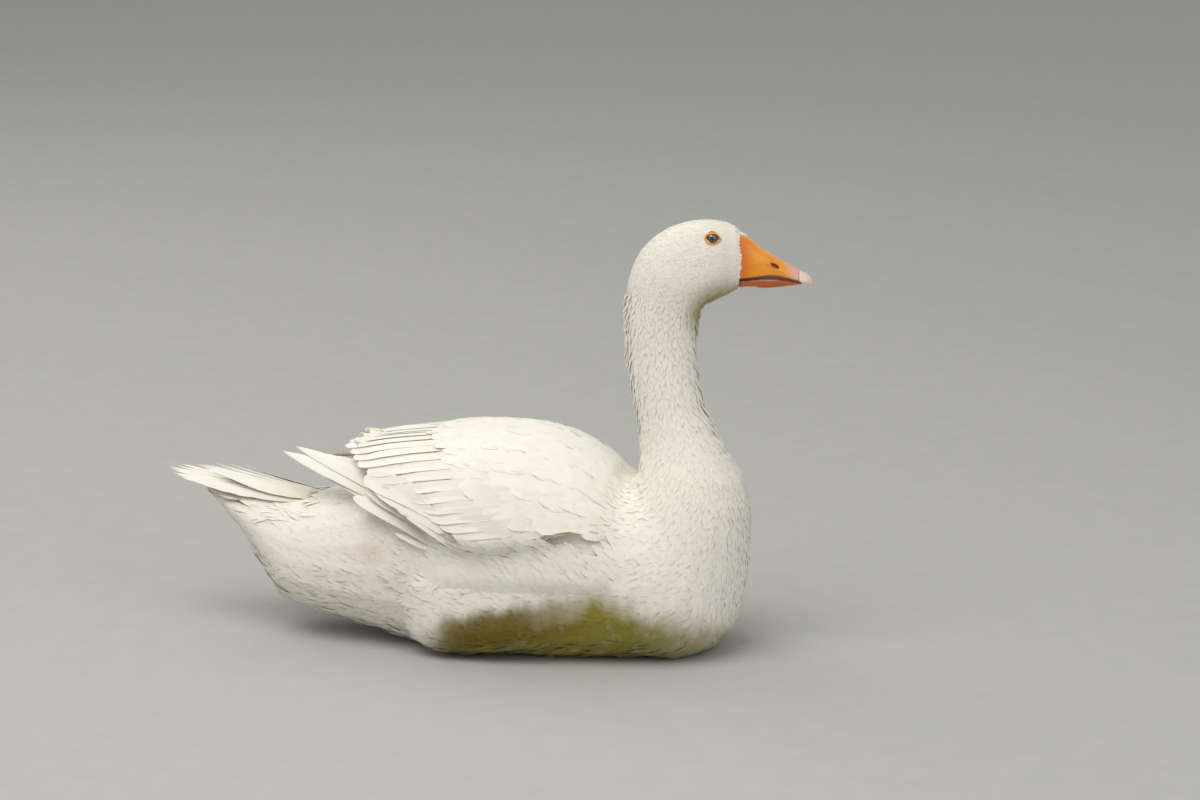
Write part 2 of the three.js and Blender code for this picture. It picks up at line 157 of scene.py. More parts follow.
def tube_triangles(rings, points, closed=False):
    """Triangles between rings of points; closed joins the last ring to the first."""
    triangles = []
    for k in range(rings if closed else rings - 1):
        beyond = ((k + 1) % rings - k) * points
        for a in range(points):
            p, q = k * points + a, k * points + (a + 1) % points
            triangles += [[p, q, q + beyond], [p, q + beyond, p + beyond]]
    return triangles


def new_object(name, vertices, triangles, material, maps=None, normals=None, **values):
    """An object of triangles. Maps and other values are per vertex, normals per corner."""
    mesh = bpy.data.meshes.new(name)
    mesh.vertices.add(len(vertices))
    mesh.vertices.foreach_set("co", np.ascontiguousarray(vertices, dtype=np.float32).ravel())
    flat = np.ascontiguousarray(triangles, dtype=np.int32).ravel()
    mesh.loops.add(len(flat))
    mesh.loops.foreach_set("vertex_index", flat)
    mesh.polygons.add(len(triangles))
    mesh.polygons.foreach_set("loop_start", np.arange(0, len(flat), 3, dtype=np.int32))
    mesh.polygons.foreach_set("use_smooth", np.ones(len(triangles), dtype=bool))
    mesh.update(calc_edges=True)
    for title, coordinates in (maps or {}).items():
        layer = mesh.uv_layers.new(name=title)
        layer.uv.foreach_set("vector", coordinates[flat].astype(np.float32).ravel())
    for title, numbers in values.items():
        layer = mesh.attributes.new(title, "FLOAT", "POINT")
        layer.data.foreach_set("value", numbers.astype(np.float32))
    if normals is not None:
        layer = mesh.attributes.new("custom_normal", "FLOAT_VECTOR", "CORNER")
        layer.data.foreach_set("vector", normals.astype(np.float32).ravel())
    mesh.materials.append(material)
    obj = bpy.data.objects.new(name, mesh)
    bpy.context.scene.collection.objects.link(obj)
    return obj


def finished(obj, slot, *nodes):
    """Hangs a piece on the root body, what it rides on, and hides the nodes it stands for; its material
    slot is not used.
    """
    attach(obj, "root")
    if nodes:
        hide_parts(*nodes)
    return obj


# ---- Materials ------------------------------------------------------------------------------

class Value:
    """A number or vector inside a material; sums and products of it add nodes."""

    def __init__(self, shader, socket):
        self.shader, self.socket = shader, socket

    def __add__(self, other):
        return self.shader.math("ADD", self, other)

    def __sub__(self, other):
        return self.shader.math("SUBTRACT", self, other)

    def __mul__(self, other):
        return self.shader.math("MULTIPLY", self, other)

    def __abs__(self):
        return self.shader.math("ABSOLUTE", self)


class Shader:
    """A node material put together from short calls."""

    def __init__(self, name):
        self.material = bpy.data.materials.new(name)
        self.material.use_nodes = True
        self.tree = self.material.node_tree
        self.surface = self.tree.nodes["Principled BSDF"]

    def feed(self, socket, value):
        """Links a socket to a value of the material, or sets it to a plain one."""
        if isinstance(value, Value):
            self.tree.links.new(value.socket, socket)
        else:
            socket.default_value = value

    def node(self, kind, output, inputs, **settings):
        """Adds a node with these inputs and gives the value of one of its outputs."""
        node = self.tree.nodes.new(kind)
        for key, value in settings.items():
            setattr(node, key, value)
        for key, value in inputs.items():
            self.feed(node.inputs[key], value)
        return Value(self, node.outputs[output])

    def set(self, **values):
        """Sets or links sockets of the surface; an underscore stands for a space."""
        for key, value in values.items():
            self.feed(self.surface.inputs[key.replace("_", " ")], value)

    def math(self, operation, a, b=0.0, clamp=False):
        return self.node("ShaderNodeMath", 0, {0: a, 1: b}, operation=operation, use_clamp=clamp)

    def clamped(self, value):
        """The value kept from 0 to 1."""
        return self.math("ADD", value, 0.0, clamp=True)

    def step(self, value, low, high):
        """0 at low and 1 at high, smooth between; low may be the larger."""
        return self.node("ShaderNodeMapRange", "Result",
                         {"Value": value, "From Min": low, "From Max": high},
                         interpolation_type="SMOOTHSTEP")

    def split(self, vector):
        """A vector with its x, y and z."""
        first = self.node("ShaderNodeSeparateXYZ", 0, {0: vector})
        return vector, *[Value(self, part) for part in first.socket.node.outputs]

    def place(self):
        """The place in the frame, and its x, y and z."""
        return self.split(self.node("ShaderNodeTexCoord", "Object", {}))

    def vane(self):
        """How far across and along a feather, each from 0 to 1."""
        return self.split(self.node("ShaderNodeUVMap", 0, {}, uv_map="Vane"))[1:3]

    def noise(self, where, scale, detail=3.0, stretch=(1, 1, 1)):
        stretched = self.node("ShaderNodeMapping", 0, {"Vector": where, "Scale": stretch})
        return self.node("ShaderNodeTexNoise", "Fac",
                         {"Vector": stretched, "Scale": scale, "Detail": detail})

    def mix(self, share, a, b):
        return self.node("ShaderNodeMix", "Result", {"Factor": share, "A": a, "B": b},
                         data_type="RGBA")

    def ball(self, where, centre, inner, outer):
        """1 within the inner radius of a place and 0 beyond the outer one."""
        off = self.node("ShaderNodeVectorMath", "Value", {0: where, 1: centre}, operation="DISTANCE")
        return self.step(off, outer, inner)

    def attribute(self, name):
        return self.node("ShaderNodeAttribute", "Fac", {}, attribute_name=name)

    def bump(self, height, strength, distance):
        self.set(Normal=self.node("ShaderNodeBump", 0, {"Height": height, "Strength": strength,
                                                        "Distance": distance}))


WHITE = (0.88, 0.855, 0.79, 1)
CREAM = (0.81, 0.745, 0.615, 1)
SHADED = (0.70, 0.67, 0.58, 1)
BROWN = (0.145, 0.10, 0.006, 1)
# OLIVE is partly dirt and partly painted green bounce light on the belly.
OLIVE = (0.26, 0.225, 0.028, 1)
# THROAT is painted green bounce light and shade under the chin and down the throat.
THROAT = (0.40, 0.35, 0.12, 1)
ROSE = (0.74, 0.52, 0.44, 1)


THROAT_AT = (0.234, 0, 0.358)      # in the head's axes
VENT_AT = (0.107, 0.083, 0.104)    # its distances from the frame's three planes


def marks_and_painted_bounce(shader, colour):
    """A plumage colour with marks over it: the belly's stain, partly dirt and partly painted green
    bounce light, painted green bounce light and shade on the throat, and the rosy vent.
    """
    where, x, _, z = shader.place()
    ragged = shader.noise(where, 34, 5.0, (1, 1, 0.5)) - 0.5
    # The belly's olive stain is partly dirt and partly painted green bounce light. Its upper edge climbs
    # forward along the flank and drops under the breast.
    edge = shader.math("MINIMUM", x * 0.24 + 0.048, x * -0.46 + 0.150) + ragged * 0.06
    streaks = shader.clamped(shader.noise(where, 70, 4.0, (1, 1, 0.15)) * 1.5 + 0.36)
    streaks = shader.clamped(streaks + shader.step(x, 0.15, 0.27) * -0.35)
    olive = shader.step(edge - z, -0.016, 0.028) * shader.step(x, -0.060, -0.010) * streaks
    colour = shader.mix(olive, colour, OLIVE)
    # A brown band runs along it behind the breast.
    off = abs(z - (x * 0.22 + 0.030 + ragged * 0.03))
    band = shader.step(off, 0.030, 0.010) * shader.step(x, -0.055, -0.005)
    colour = shader.mix(band * shader.step(x, 0.14, 0.04) * 0.9, colour, BROWN)
    # Painted green bounce light and shade under the chin and down the throat.
    throat = shader.ball(where, tuple(from_head([THROAT_AT])[0]), 0.018, 0.047)
    colour = shader.mix(throat * 0.9, colour, THROAT)
    mirrored = shader.node("ShaderNodeVectorMath", 0, {0: where}, operation="ABSOLUTE")
    vent = shader.ball(mirrored, VENT_AT, 0.004, 0.026) * shader.step(x, 0, -0.02)
    return shader.mix(vent * 0.4, colour, ROSE)


def plumage(name, barbs, shaft=0.0, bump=0.25):
    """White feathers: warm cream at the root, partly their own beige and partly painted shade under the
    feathers that overlap it, pale at the tip, with barbs across the vane.
    """
    shader = Shader(name)
    where, *_ = shader.place()
    across, along = shader.vane()
    # Cream towards the root is partly the feather's own beige and partly painted shade where the next
    # feathers lie over it.
    colour = shader.mix(shader.step(along, 0.0, 0.75), CREAM, WHITE)
    colour = shader.mix(shader.step(shader.noise(where, 16), 0.45, 0.75) * 0.22, colour, CREAM)
    colour = shader.mix(shader.attribute("tone") * 0.16, colour, SHADED)
    off = abs(across - 0.5)
    quill = shader.step(off, 0.035, 0.012) * shaft
    colour = shader.mix(quill, colour, CREAM)
    # Barbs run out and forward from the shaft, so their lines slant across the vane.
    slanted = {0: (along - off * 0.30) * barbs, 1: across * 2.5}
    lines = shader.noise(shader.node("ShaderNodeCombineXYZ", 0, slanted), 1.0, 4.0)
    shader.set(Base_Color=marks_and_painted_bounce(shader, colour), Roughness=0.72, Sheen_Weight=0.12,
               Sheen_Roughness=0.5, Specular_IOR_Level=0.25)
    shader.bump(lines + quill * 1.5, bump, 0.4 * MM)
    return shader.material


def skin_material():
    """Down and skin between the feathers' roots."""
    shader = Shader("skin_down")
    where, *_ = shader.place()
    down = shader.noise(where, 420, 4.0)
    colour = shader.mix(shader.step(down, 0.35, 0.7), CREAM, WHITE)
    shader.set(Base_Color=marks_and_painted_bounce(shader, colour), Roughness=0.85, Sheen_Weight=0.2)
    shader.bump(down, 0.5, 0.8 * MM)
    return shader.material


# ---- The spine: a place along the body, the angle round it, and the lie of the coat ----------

def spine_sections():
    """The table's sections, with more put between them."""
    rows = np.arange(len(SPINE_MM))
    places = np.linspace(0, rows[-1], rows[-1] * SPINE_STEPS + 1)
    return np.stack([np.interp(places, rows, column) for column in SPINE_MM.T], axis=1) * MM


SECTIONS = spine_sections()


def spine_lengths():
    """How far along the body's middle line each section is, as a share of the whole."""
    middle = SECTIONS[:, 2:] + SPINE_MIDDLE * (SECTIONS[:, :2] - SECTIONS[:, 2:])
    steps = np.linalg.norm(np.diff(middle, axis=0), axis=1)
    total = np.concatenate([[0], np.cumsum(steps)])
    return total / total[-1]


SECTION_AT = spine_lengths()


def body_place(points):
    """Share along the spine, share of the way round from the belly, and section index."""
    flat = yaw_by(points, -HEAD_YAW * head_share(points))
    belly, back = SECTIONS[:, 2:], SECTIONS[:, :2]
    tall = np.linalg.norm(back - belly, axis=1)
    up = (back - belly) / tall[:, None]
    forward = np.stack([up[:, 1], -up[:, 0]], axis=1)
    index = np.empty(len(points))
    height = np.empty(len(points))
    for start in range(0, len(points), 20000):
        part = slice(start, start + 20000)
        offset = flat[part][:, None, [0, 2]] - belly[None]
        ahead = np.sum(offset * forward[None], axis=2)
        rise = np.sum(offset * up[None], axis=2)
        outside = np.maximum(0, np.maximum(-rise, rise - tall[None]))
        cost = np.abs(ahead) + 1.5 * outside
        best = np.argmin(cost, axis=1)
        row = np.arange(len(best))
        here = ahead[row, best]
        other = np.clip(best + np.where(here > 0, 1, -1), 0, len(SECTIONS) - 1)
        there = ahead[row, other]
        share = np.abs(here) / np.maximum(np.abs(here) + np.abs(there), 1e-9)
        share = np.where(here * there < 0, share, 0)
        index[part] = best + share * (other - best)
        height[part] = rise[row, best] - SPINE_MIDDLE * tall[best]
    round_belly = (np.arctan2(height, flat[:, 1]) + math.pi / 2) / (2 * math.pi) % 1.0
    along = np.interp(index, np.arange(len(SECTIONS)), SECTION_AT)
    return along, round_belly, index


def unwrapped(points):
    """The skin's unwrap: round the body across, along it upward."""
    along, around, _ = body_place(points)
    return UNWRAP_MARGIN + np.stack([UNWRAP_WIDE * around, UNWRAP_TALL * along], axis=1)


def lie(points, normals):
    """The way feathers point on the body: along the surface, away from the bill."""
    _, _, index = body_place(points)
    row = np.clip(np.round(index).astype(int), 0, len(SECTIONS) - 1)
    up = unit(SECTIONS[row, :2] - SECTIONS[row, 2:])
    flow = np.stack([-up[:, 1], np.zeros(len(row)), up[:, 0]], axis=1)
    angle = HEAD_YAW * head_share(points)
    flow = np.stack([flow[:, 0] * np.cos(angle), flow[:, 0] * np.sin(angle), flow[:, 2]], axis=1)
    return laid(flow, normals)


# ---- The skin -------------------------------------------------------------------------------

def copies_joined(names, swell):
    """One mesh of the named nodes, each swollen a little so that they meet."""
    vertices, triangles = [], []
    start = 0
    for name in names:
        v, t = mesh_arrays(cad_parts[name].data)
        merged, inverse = np.unique(np.round(v, 7), axis=0, return_inverse=True)
        t = inverse.reshape(-1)[t]
        vertices.append(merged + swell * vertex_normals(merged, t))
        triangles.append(t + start)
        start += len(merged)
    return np.concatenate(vertices), np.concatenate(triangles)


def remeshed(vertices, triangles, voxel, smoothing):
    """A closed mesh of one surface, by voxels, smoothed."""
    obj = new_object("remesh", vertices, triangles, bpy.data.materials.new("unused"))
    voxels = obj.modifiers.new("voxels", "REMESH")
    voxels.mode = "VOXEL"
    voxels.voxel_size = voxel
    smooth = obj.modifiers.new("smooth", "SMOOTH")
    smooth.factor = 0.5
    smooth.iterations = smoothing
    made = bpy.data.meshes.new_from_object(obj.evaluated_get(bpy.context.evaluated_depsgraph_get()))
    bpy.data.objects.remove(obj)
    return mesh_arrays(made)


def largest_shell(vertices, triangles):
    """Only the outer shell, without closed pockets inside it."""
    parent = np.arange(len(vertices))
    while True:
        low = np.minimum.reduce(parent[triangles], axis=1)
        before = parent.copy()
        for k in range(3):
            np.minimum.at(parent, triangles[:, k], low)
        parent = parent[parent]
        if np.array_equal(before, parent):
            break
    roots, counts = np.unique(parent[triangles[:, 0]], return_counts=True)
    kept = triangles[parent[triangles[:, 0]] == roots[np.argmax(counts)]]
    used, inverse = np.unique(kept, return_inverse=True)
    return vertices[used], inverse.reshape(-1, 3)


def one_form(names, swell, voxel, smoothing):
    """The named nodes as one closed surface."""
    return largest_shell(*remeshed(*copies_joined(names, swell), voxel, smoothing))


def coat_depth(points):
    """How far the skin lies inside the body's outline."""
    neck = smoothstep(0.36, 0.40, points[:, 2])
    body = smoothstep(0.20, 0.26, points[:, 2])
    deep = COAT_DEPTH["body"] + (COAT_DEPTH["neck"] - COAT_DEPTH["body"]) * body
    return deep + (COAT_DEPTH["head"] - deep) * neck


class Ground:
    """A surface as arrays, with look-ups for the feathers that grow on it."""

    def __init__(self, vertices, triangles):
        self.vertices, self.triangles = vertices, triangles
        self.normals = vertex_normals(vertices, triangles)
        self.tree = BVHTree.FromPolygons(vertices.tolist(), triangles.tolist())
        corners = vertices[triangles]
        cross = np.cross(corners[:, 1] - corners[:, 0], corners[:, 2] - corners[:, 0])
        self.areas = np.linalg.norm(cross, axis=1) / 2
        self.centres = corners.mean(axis=1)
        self.facing = unit(cross)

    def nearest(self, points):
        """The nearest places on the surface, with smooth normals."""
        places = np.empty_like(points)
        faces = np.empty(len(points), dtype=np.int64)
        for k, p in enumerate(points):
            place, _, face, _ = self.tree.find_nearest(p)
            places[k] = place
            faces[k] = face
        corners = self.triangles[faces]
        weights = 1 / (1e-4 + np.linalg.norm(self.vertices[corners] - places[:, None], axis=2))
        normals = np.sum(self.normals[corners] * weights[:, :, None], axis=1)
        return places, unit(normals)

    def scattered(self, mask, spacing):
        """Places over the masked faces that keep the spacing from each other."""
        areas = np.where(mask, self.areas, 0)
        count = int(3.2 * areas.sum() / spacing ** 2)
        chosen = random.choice(len(areas), count, p=areas / areas.sum())
        a, b = random.random((2, count, 1))
        a = np.sqrt(a)
        corners = self.vertices[self.triangles[chosen]]
        points = corners[:, 0] * (1 - a) + corners[:, 1] * a * (1 - b) + corners[:, 2] * a * b
        return points[thinned(points, spacing)]


def grown_skin():
    """The skin's surface: the flesh as one, drawn in by the depth of the coat."""
    outer, faces = one_form(FLESH + ["eye_right", "eye_left"], 0.35 * MM, SKIN_VOXEL, 5)
    skin = outer - vertex_normals(outer, faces) * coat_depth(outer)[:, None]
    skin[:, 2] = np.maximum(skin[:, 2], 1.5 * MM)
    ground = Ground(skin, faces)
    node_vertices, node_faces = copies_joined(FLESH, 0)
    owners = [k for k, name in enumerate(FLESH) for _ in mesh_arrays(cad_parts[name].data)[1]]
    tree = BVHTree.FromPolygons(node_vertices.tolist(), node_faces.tolist())
    ground.owners = np.array([owners[tree.find_nearest(p)[2]] for p in ground.centres])
    return ground


def thinned(points, spacing):
    """The indices of points that keep the spacing, taken in the order given."""
    tree = KDTree(len(points))
    for k, p in enumerate(points):
        tree.insert(p, k)
    tree.balance()
    free = np.ones(len(points), dtype=bool)
    kept = []
    for k, p in enumerate(points):
        if free[k]:
            kept.append(k)
            for _, other, _ in tree.find_range(p, spacing):
                free[other] = False
    return np.array(kept)


def build_skin(surface):
    """The one skin, which stands for all the nodes of flesh."""
    place = unwrapped(surface.vertices)
    obj = new_object("skin", surface.vertices, surface.triangles, skin_material())
    layer = obj.data.uv_layers.new(name="OFBake")
    corner = place[surface.triangles]
    wraps = np.ptp(corner[:, :, 0], axis=1) > 0.5
    low = (corner[:, :, 0] < 0.5) & wraps[:, None]
    corner[:, :, 0] += UNWRAP_WIDE * low
    layer.uv.foreach_set("vector", corner.astype(np.float32).ravel())
    return finished(obj, "plumage", *FLESH)


# ---- Vanes ----------------------------------------------------------------------------------

def repeated(faces, count, size):
    """A feather's triangles for all of a piece's feathers, of so many vertices each."""
    return (faces[None] + np.arange(count)[:, None, None] * size).reshape(-1, 3)


def above_floor(vertices):
    """The vertices kept just over the floor."""
    return np.maximum(vertices, [-np.inf, -np.inf, FLOOR_GAP])


VANE_THICKNESS = 0.2 * MM          # of a small feather at its shaft


class Form:
    """A small feather's shape at its stations: share along, width, height over the skin."""

    def __init__(self, along, width, height, camber):
        self.along, self.width, self.height = np.array(along), np.array(width), np.array(height)
        self.camber = camber


BROAD = Form([0, 0.34, 0.70, 0.90, 1.0], [0.5, 0.95, 1.0, 0.66, 0], [-0.5, 0.4, 0.95, 0.9, 0.55],
             0.16)
POINTED = Form([0, 0.3, 0.65, 1.0], [0.6, 1.0, 0.74, 0], [-0.4, 0.45, 0.95, 1.0], 0.22)
def vane_triangles(stations):
    """One vane's triangles, of left, middle and right rows that end in a point, and their sides.

    A side is 1 on the upper face and -1 on the lower one.
    """
    faces, sides = [], []
    for k in range(stations - 2):
        left, middle, right = 3 * k, 3 * k + 1, 3 * k + 2
        for a, b, side in ((left, middle, 1), (middle, right, 1), (right, left, -1)):
            faces += [[a, b, b + 3], [a, b + 3, a + 3]]
            sides += [side, side]
    last = 3 * (stations - 2)
    tip = last + 3
    faces += [[last, last + 1, tip], [last + 1, last + 2, tip], [last + 2, last, tip], [0, 2, 1]]
    return np.array(faces), np.array(sides + [1, 1, -1, 1])


def mark_rims(mesh, size, rims):
    """Sharp edges where a feather's upper and lower faces meet, as pairs within its vertices."""
    ends = np.empty(len(mesh.edges) * 2, dtype=np.int64)
    mesh.edges.foreach_get("vertices", ends)
    local = np.sort(ends.reshape(-1, 2) % size, axis=1)
    keys = [low * size + high for low, high in rims]
    layer = mesh.attributes.new("sharp_edge", "BOOLEAN", "EDGE")
    layer.data.foreach_set("value", np.isin(local[:, 0] * size + local[:, 1], keys))


def vane_rims(stations):
    """A small vane's rim edges."""
    last = 3 * (stations - 2)
    rims = [(0, 2), (last, last + 3), (last + 2, last + 3)]
    for k in range(stations - 2):
        rims += [(3 * k, 3 * k + 3), (3 * k + 2, 3 * k + 5)]
    return rims


def traced(surface, roots, direction, lengths, form):
    """Each feather's middle line over the skin, from its root, with the skin's normals."""
    points, normals = surface.nearest(roots)
    lines, ups = [points], [normals]
    for step in np.diff(form.along):
        direction = laid(direction, normals)
        points, normals = surface.nearest(points + direction * lengths[:, None] * step)
        lines.append(points)
        ups.append(normals)
    return np.stack(lines, axis=1), np.stack(ups, axis=1)


def unfolded(lines, ups, lengths, form):
    """A mask of the feathers that lie smoothly, without a fold, a sharp bend or a bunched step."""
    steps = np.diff(lines, axis=1)
    long = np.linalg.norm(steps, axis=2)
    ways = unit(steps)
    bend = np.sum(ways[:, 1:] * ways[:, :-1], axis=2).min(axis=1)
    bunched = (long / (lengths[:, None] * np.diff(form.along))).min(axis=1)
    fold = np.sum(ups * ups[:, :1], axis=2).min(axis=1)
    return (fold > MOST_FOLD) & (bend > MOST_BEND) & (bunched > 0.5)


def vanes(lines, ups, half_widths, lifts, form, tones, soft):
    """Vertices, normals and maps of feathers laid along lines; soft blends in the skin's normal."""
    count, stations, _ = lines.shape
    tangent = np.gradient(lines, axis=1)
    across = unit(np.cross(ups, tangent))
    height = lifts[:, None] * form.height[None]
    width = half_widths[:, None] * form.width[None]
    middle = lines + ups * (height + VANE_THICKNESS)[:, :, None]
    low = lines + ups * (height - form.camber * width * 0.5)[:, :, None]
    left = low + across * width[:, :, None]
    right = low - across * width[:, :, None]
    rows = np.stack([left, middle, right], axis=2)
    body = rows[:, :-1].reshape(count, -1, 3)
    vertices = np.concatenate([body, middle[:, -1:]], axis=1)
    face_up = unit(np.cross(unit(np.gradient(middle, axis=1)), across))
    face_up = np.where(dot(face_up, ups) < 0, -face_up, face_up)
    slope = across * form.camber * 0.8
    sides = np.stack([face_up + slope, face_up, face_up - slope], axis=2)
    blend = unit(unit(sides) * (1 - soft) + ups[:, :, None] * soft)
    normals = np.concatenate([blend[:, :-1].reshape(count, -1, 3), blend[:, -1:, 1]], axis=1)
    u = np.tile([0.0, 0.5, 1.0], stations - 1)
    v = np.repeat(form.along[:-1], 3)
    vane = np.concatenate([np.stack([u, v], axis=1), [[0.5, 1.0]]])
    vane = np.broadcast_to(vane, (count,) + vane.shape)
    patch = unwrapped(lines[:, 0])[:, None] + (vane - 0.5) * OF_PATCH
    faces, sides = vane_triangles(stations)
    size = vertices.shape[1]
    return {
        "vertices": above_floor(vertices.reshape(-1, 3)), "triangles": repeated(faces, count, size),
        "normals": normals[:, faces] * sides[None, :, None, None],
        "maps": {"OFBake": patch.reshape(-1, 2), "Vane": vane.reshape(-1, 2)},
        "tone": np.repeat(tones, size),
    }


MOST_TRIANGLES = 190000            # in one piece of the coat
MOST_FOLD = 0.35                   # feathers that would fold further over an edge are left out
MOST_BEND = 0.6                    # or that turn sharper than this between two stations


def coat_pieces(name, made, stations, material):
    """Objects for the feathers, split so that none has too many triangles."""
    count, faces = made["normals"].shape[:2]
    size = len(made["vertices"]) // count
    each = MOST_TRIANGLES // faces
    for number, start in enumerate(range(0, count, each)):
        end = min(count, start + each)
        v, t = slice(start * size, end * size), slice(start * faces, end * faces)
        maps = {key: value[v] for key, value in made["maps"].items()}
        obj = new_object(f"{name}_{number + 1}", made["vertices"][v],
                         made["triangles"][t] - start * size, material, maps,
                         made["normals"][start:end], tone=made["tone"][v])
        mark_rims(obj.data, size, vane_rims(stations))
        finished(obj, "plumage")


def grow(name, surface, mask, form, size, soft, stray=0.12, shape=None, rise=None):
    """Builds one kind of small feather over one region of a surface.

    size is length, width, spacing and lift in mm, which shape may change by place. The feathers
    follow the lie of the coat, or point straight back and up by the share of rise.
    """
    length, width, spacing, lift = np.array(size) * MM
    roots, normals = surface.nearest(surface.scattered(mask, spacing))
    direction = lie(roots, normals) if rise is None else laid(np.array([-1.0, 0, rise]), normals)
    turn = random.normal(0, stray, len(roots))[:, None]
    direction = unit(direction + np.cross(normals, direction) * turn)
    lengths = length * random.uniform(0.85, 1.15, len(roots))
    widths = width / 2 * random.uniform(0.88, 1.12, len(roots))
    lifts = lift * random.uniform(0.75, 1.25, len(roots))
    if shape:
        lengths, widths, lifts = shape(roots, lengths, widths, lifts)
    lines, ups = traced(surface, roots, direction, lengths, form)
    flat = unfolded(lines, ups, lengths, form)
    made = vanes(lines[flat], ups[flat], widths[flat], lifts[flat], form,
                 random.random(np.count_nonzero(flat)), soft)
    coat_pieces(name, made, len(form.along), plumage(f"plumage_{name}", BODY_BARBS))


def read_mm(table, x, column):
    """A table's column at these places of its first one, in metres."""
    return np.interp(x, table[:, 0] * MM, table[:, column] * MM)


def wing_point(x, angle, side):
    """A place on a wing's outer surface: x along it, angle up from the level of its middle."""
    half, tall = read_mm(WING_SURFACE_MM, x, 2), read_mm(WING_SURFACE_MM, x, 1) - WING_MIDDLE_Z
    p = WING_SQUARENESS
    reach = ((np.abs(np.cos(angle)) / half) ** p + (np.abs(np.sin(angle)) / tall) ** p) ** (-1 / p)
    return np.stack([x, side * reach * np.cos(angle), WING_MIDDLE_Z + reach * np.sin(angle)], axis=-1)


def owned(surface, *names):
    """A mask of the skin's faces that lie under the named nodes."""
    return np.isin(surface.owners, [FLESH.index(name) for name in names])


def wing_place(points):
    """Each point's x, its angle up from the wing's middle and how far it lies under the surface."""
    side = np.where(points[:, 1] < 0, -1, 1)
    angle = np.arctan2(points[:, 2] - WING_MIDDLE_Z, np.abs(points[:, 1]))
    outer = wing_point(points[:, 0], angle, side)
    return points[:, 0], angle, np.linalg.norm(outer - points, axis=1)


def covert_edge(angle):
    """The x where the wing's small feathers end over the roots of its long ones."""
    line = np.array(COVERT_EDGE, float)
    return np.interp(np.degrees(angle), line[:, 1], line[:, 0]) * MM


def covert_feathers(roots, lengths, widths, lifts):
    """The last feathers before the long ones stand a little prouder and differ in length."""
    x, angle, _ = wing_place(roots)
    last = smoothstep(40, 22, (x - covert_edge(angle)) / MM)
    wave = 0.6 + 0.8 * clumps(roots, 0.016)
    front = 0.7 + 0.3 * smoothstep(0.16, 0.10, x)
    return lengths * front * (1 + 0.35 * last * (wave - 1)), widths * front, lifts * (wave + 1.6 * last)


def rump_ground():
    """The tail's root and the rump as one surface, and its faces that carry feathers."""
    vertices, triangles = one_form(["trunk", "tail"], 0.3 * MM, 2.4 * MM, 5)
    vertices -= vertex_normals(vertices, triangles) * COAT_DEPTH["body"]
    ground = Ground(vertices, triangles)
    x, _, z = ground.centres.T
    loose = 0.006 * random.normal(0, 1, len(x))
    mask = (x + loose > -0.272) & (x < -0.15) & (z + loose > 0.134) & (ground.facing[:, 2] > 0.0)
    return ground, mask


def jaw_raised(points):
    """The points with the rear of the lower jaw drawn up a little, as the feathers leave it."""
    head = to_head(points)
    x, z = head[:, 0] / MM, head[:, 2] / MM
    share = smoothstep(290, 262, x) * smoothstep(246, 255, x)
    head[:, 2] = np.where(z < 385, 385 - (385 - z) * (1 - 0.56 * share), z) * MM
    return from_head(head)


def flank_ground():
    """The body and wings with the crease between them filled, and its faces along that crease."""
    vertices, triangles = one_form(FLESH, FLANK_SWELL, 4 * MM, 30)
    x, _, z = vertices.T
    inside = smoothstep(0.070, 0.098, z) * smoothstep(0.175, 0.10, x) * smoothstep(-0.065, -0.02, x)
    vertices -= vertex_normals(vertices, triangles) * ((1 - inside) * FLANK_SINK)[:, None]
    ground = Ground(vertices, triangles)
    x, _, z = ground.centres.T
    top = read_mm(FLANK_TOP_MM, x, 1)
    loose = 0.005 * random.normal(0, 1, len(x))
    mask = (z + loose < top) & (z + loose > 0.072) & (x > -0.055) & (x + 3 * loose < 0.16)
    return ground, mask & (np.abs(ground.facing[:, 1]) > 0.4)


def flank_feathers(roots, lengths, widths, lifts):
    """Loose feathers that stand off most along the crease under the wing."""
    wave = 0.45 + 1.1 * clumps(roots, 0.016)
    high = smoothstep(0.075, 0.105, roots[:, 2])
    return lengths * (0.8 + 0.3 * high), widths, lifts * wave * (0.4 + 0.8 * high)


def face_ground():
    """The head and the bill as one surface, and masks where feathers run onto the bill.

    The first mask is the face's edge, the second the chin under the lower bill.
    """
    nodes = ["head", "bill_upper", "bill_lower", "eye_right", "eye_left"]
    vertices, triangles = one_form(nodes, 0.25 * MM, 1.2 * MM, 2)
    sunk = 1 - smoothstep(246, 257, to_head(vertices)[:, 0] / MM)
    vertices -= vertex_normals(vertices, triangles) * (0.2 + 0.95 * sunk[:, None]) * MM
    vertices = jaw_raised(vertices)
    ground = Ground(vertices, triangles)
    x, y, z = to_head(ground.centres).T / MM
    edge = np.interp(z, FACE_EDGE_MM[:, 0], FACE_EDGE_MM[:, 1])
    beside = x < edge + 0.4 * np.sin(1.7 * z) + 0.3 * np.sin(0.61 * z + 1)
    forehead = (z > 424) & (np.abs(y) < 0.6 + 0.66 * (FOREHEAD_POINT_X - x))
    chin = (z < 381.5) & (x < CHIN_POINT_X - 0.5 * np.abs(y))
    rear = x + random.normal(0, 1.5, len(x)) > 249
    return ground, rear & (beside | forehead), rear & chin


def downy(surface, trunk, thigh):
    """Faces where loose down shows: above and behind the thighs, round the vent, on the rump."""
    x, _, z = surface.centres.T
    above = (z > 0.085) & (z < 0.12) & (x > -0.07) & (x < 0.06)
    vent = trunk & (x < -0.06) & (x > -0.25) & (z < 0.085)
    rump = trunk & (x < -0.165) & (x > -0.245) & (z > 0.125)
    belly = (z < 0.022) & (x > -0.10) & (x < 0.23)
    return (thigh & (x < -0.03)) | ((thigh | trunk) & above) | vent | rump | belly


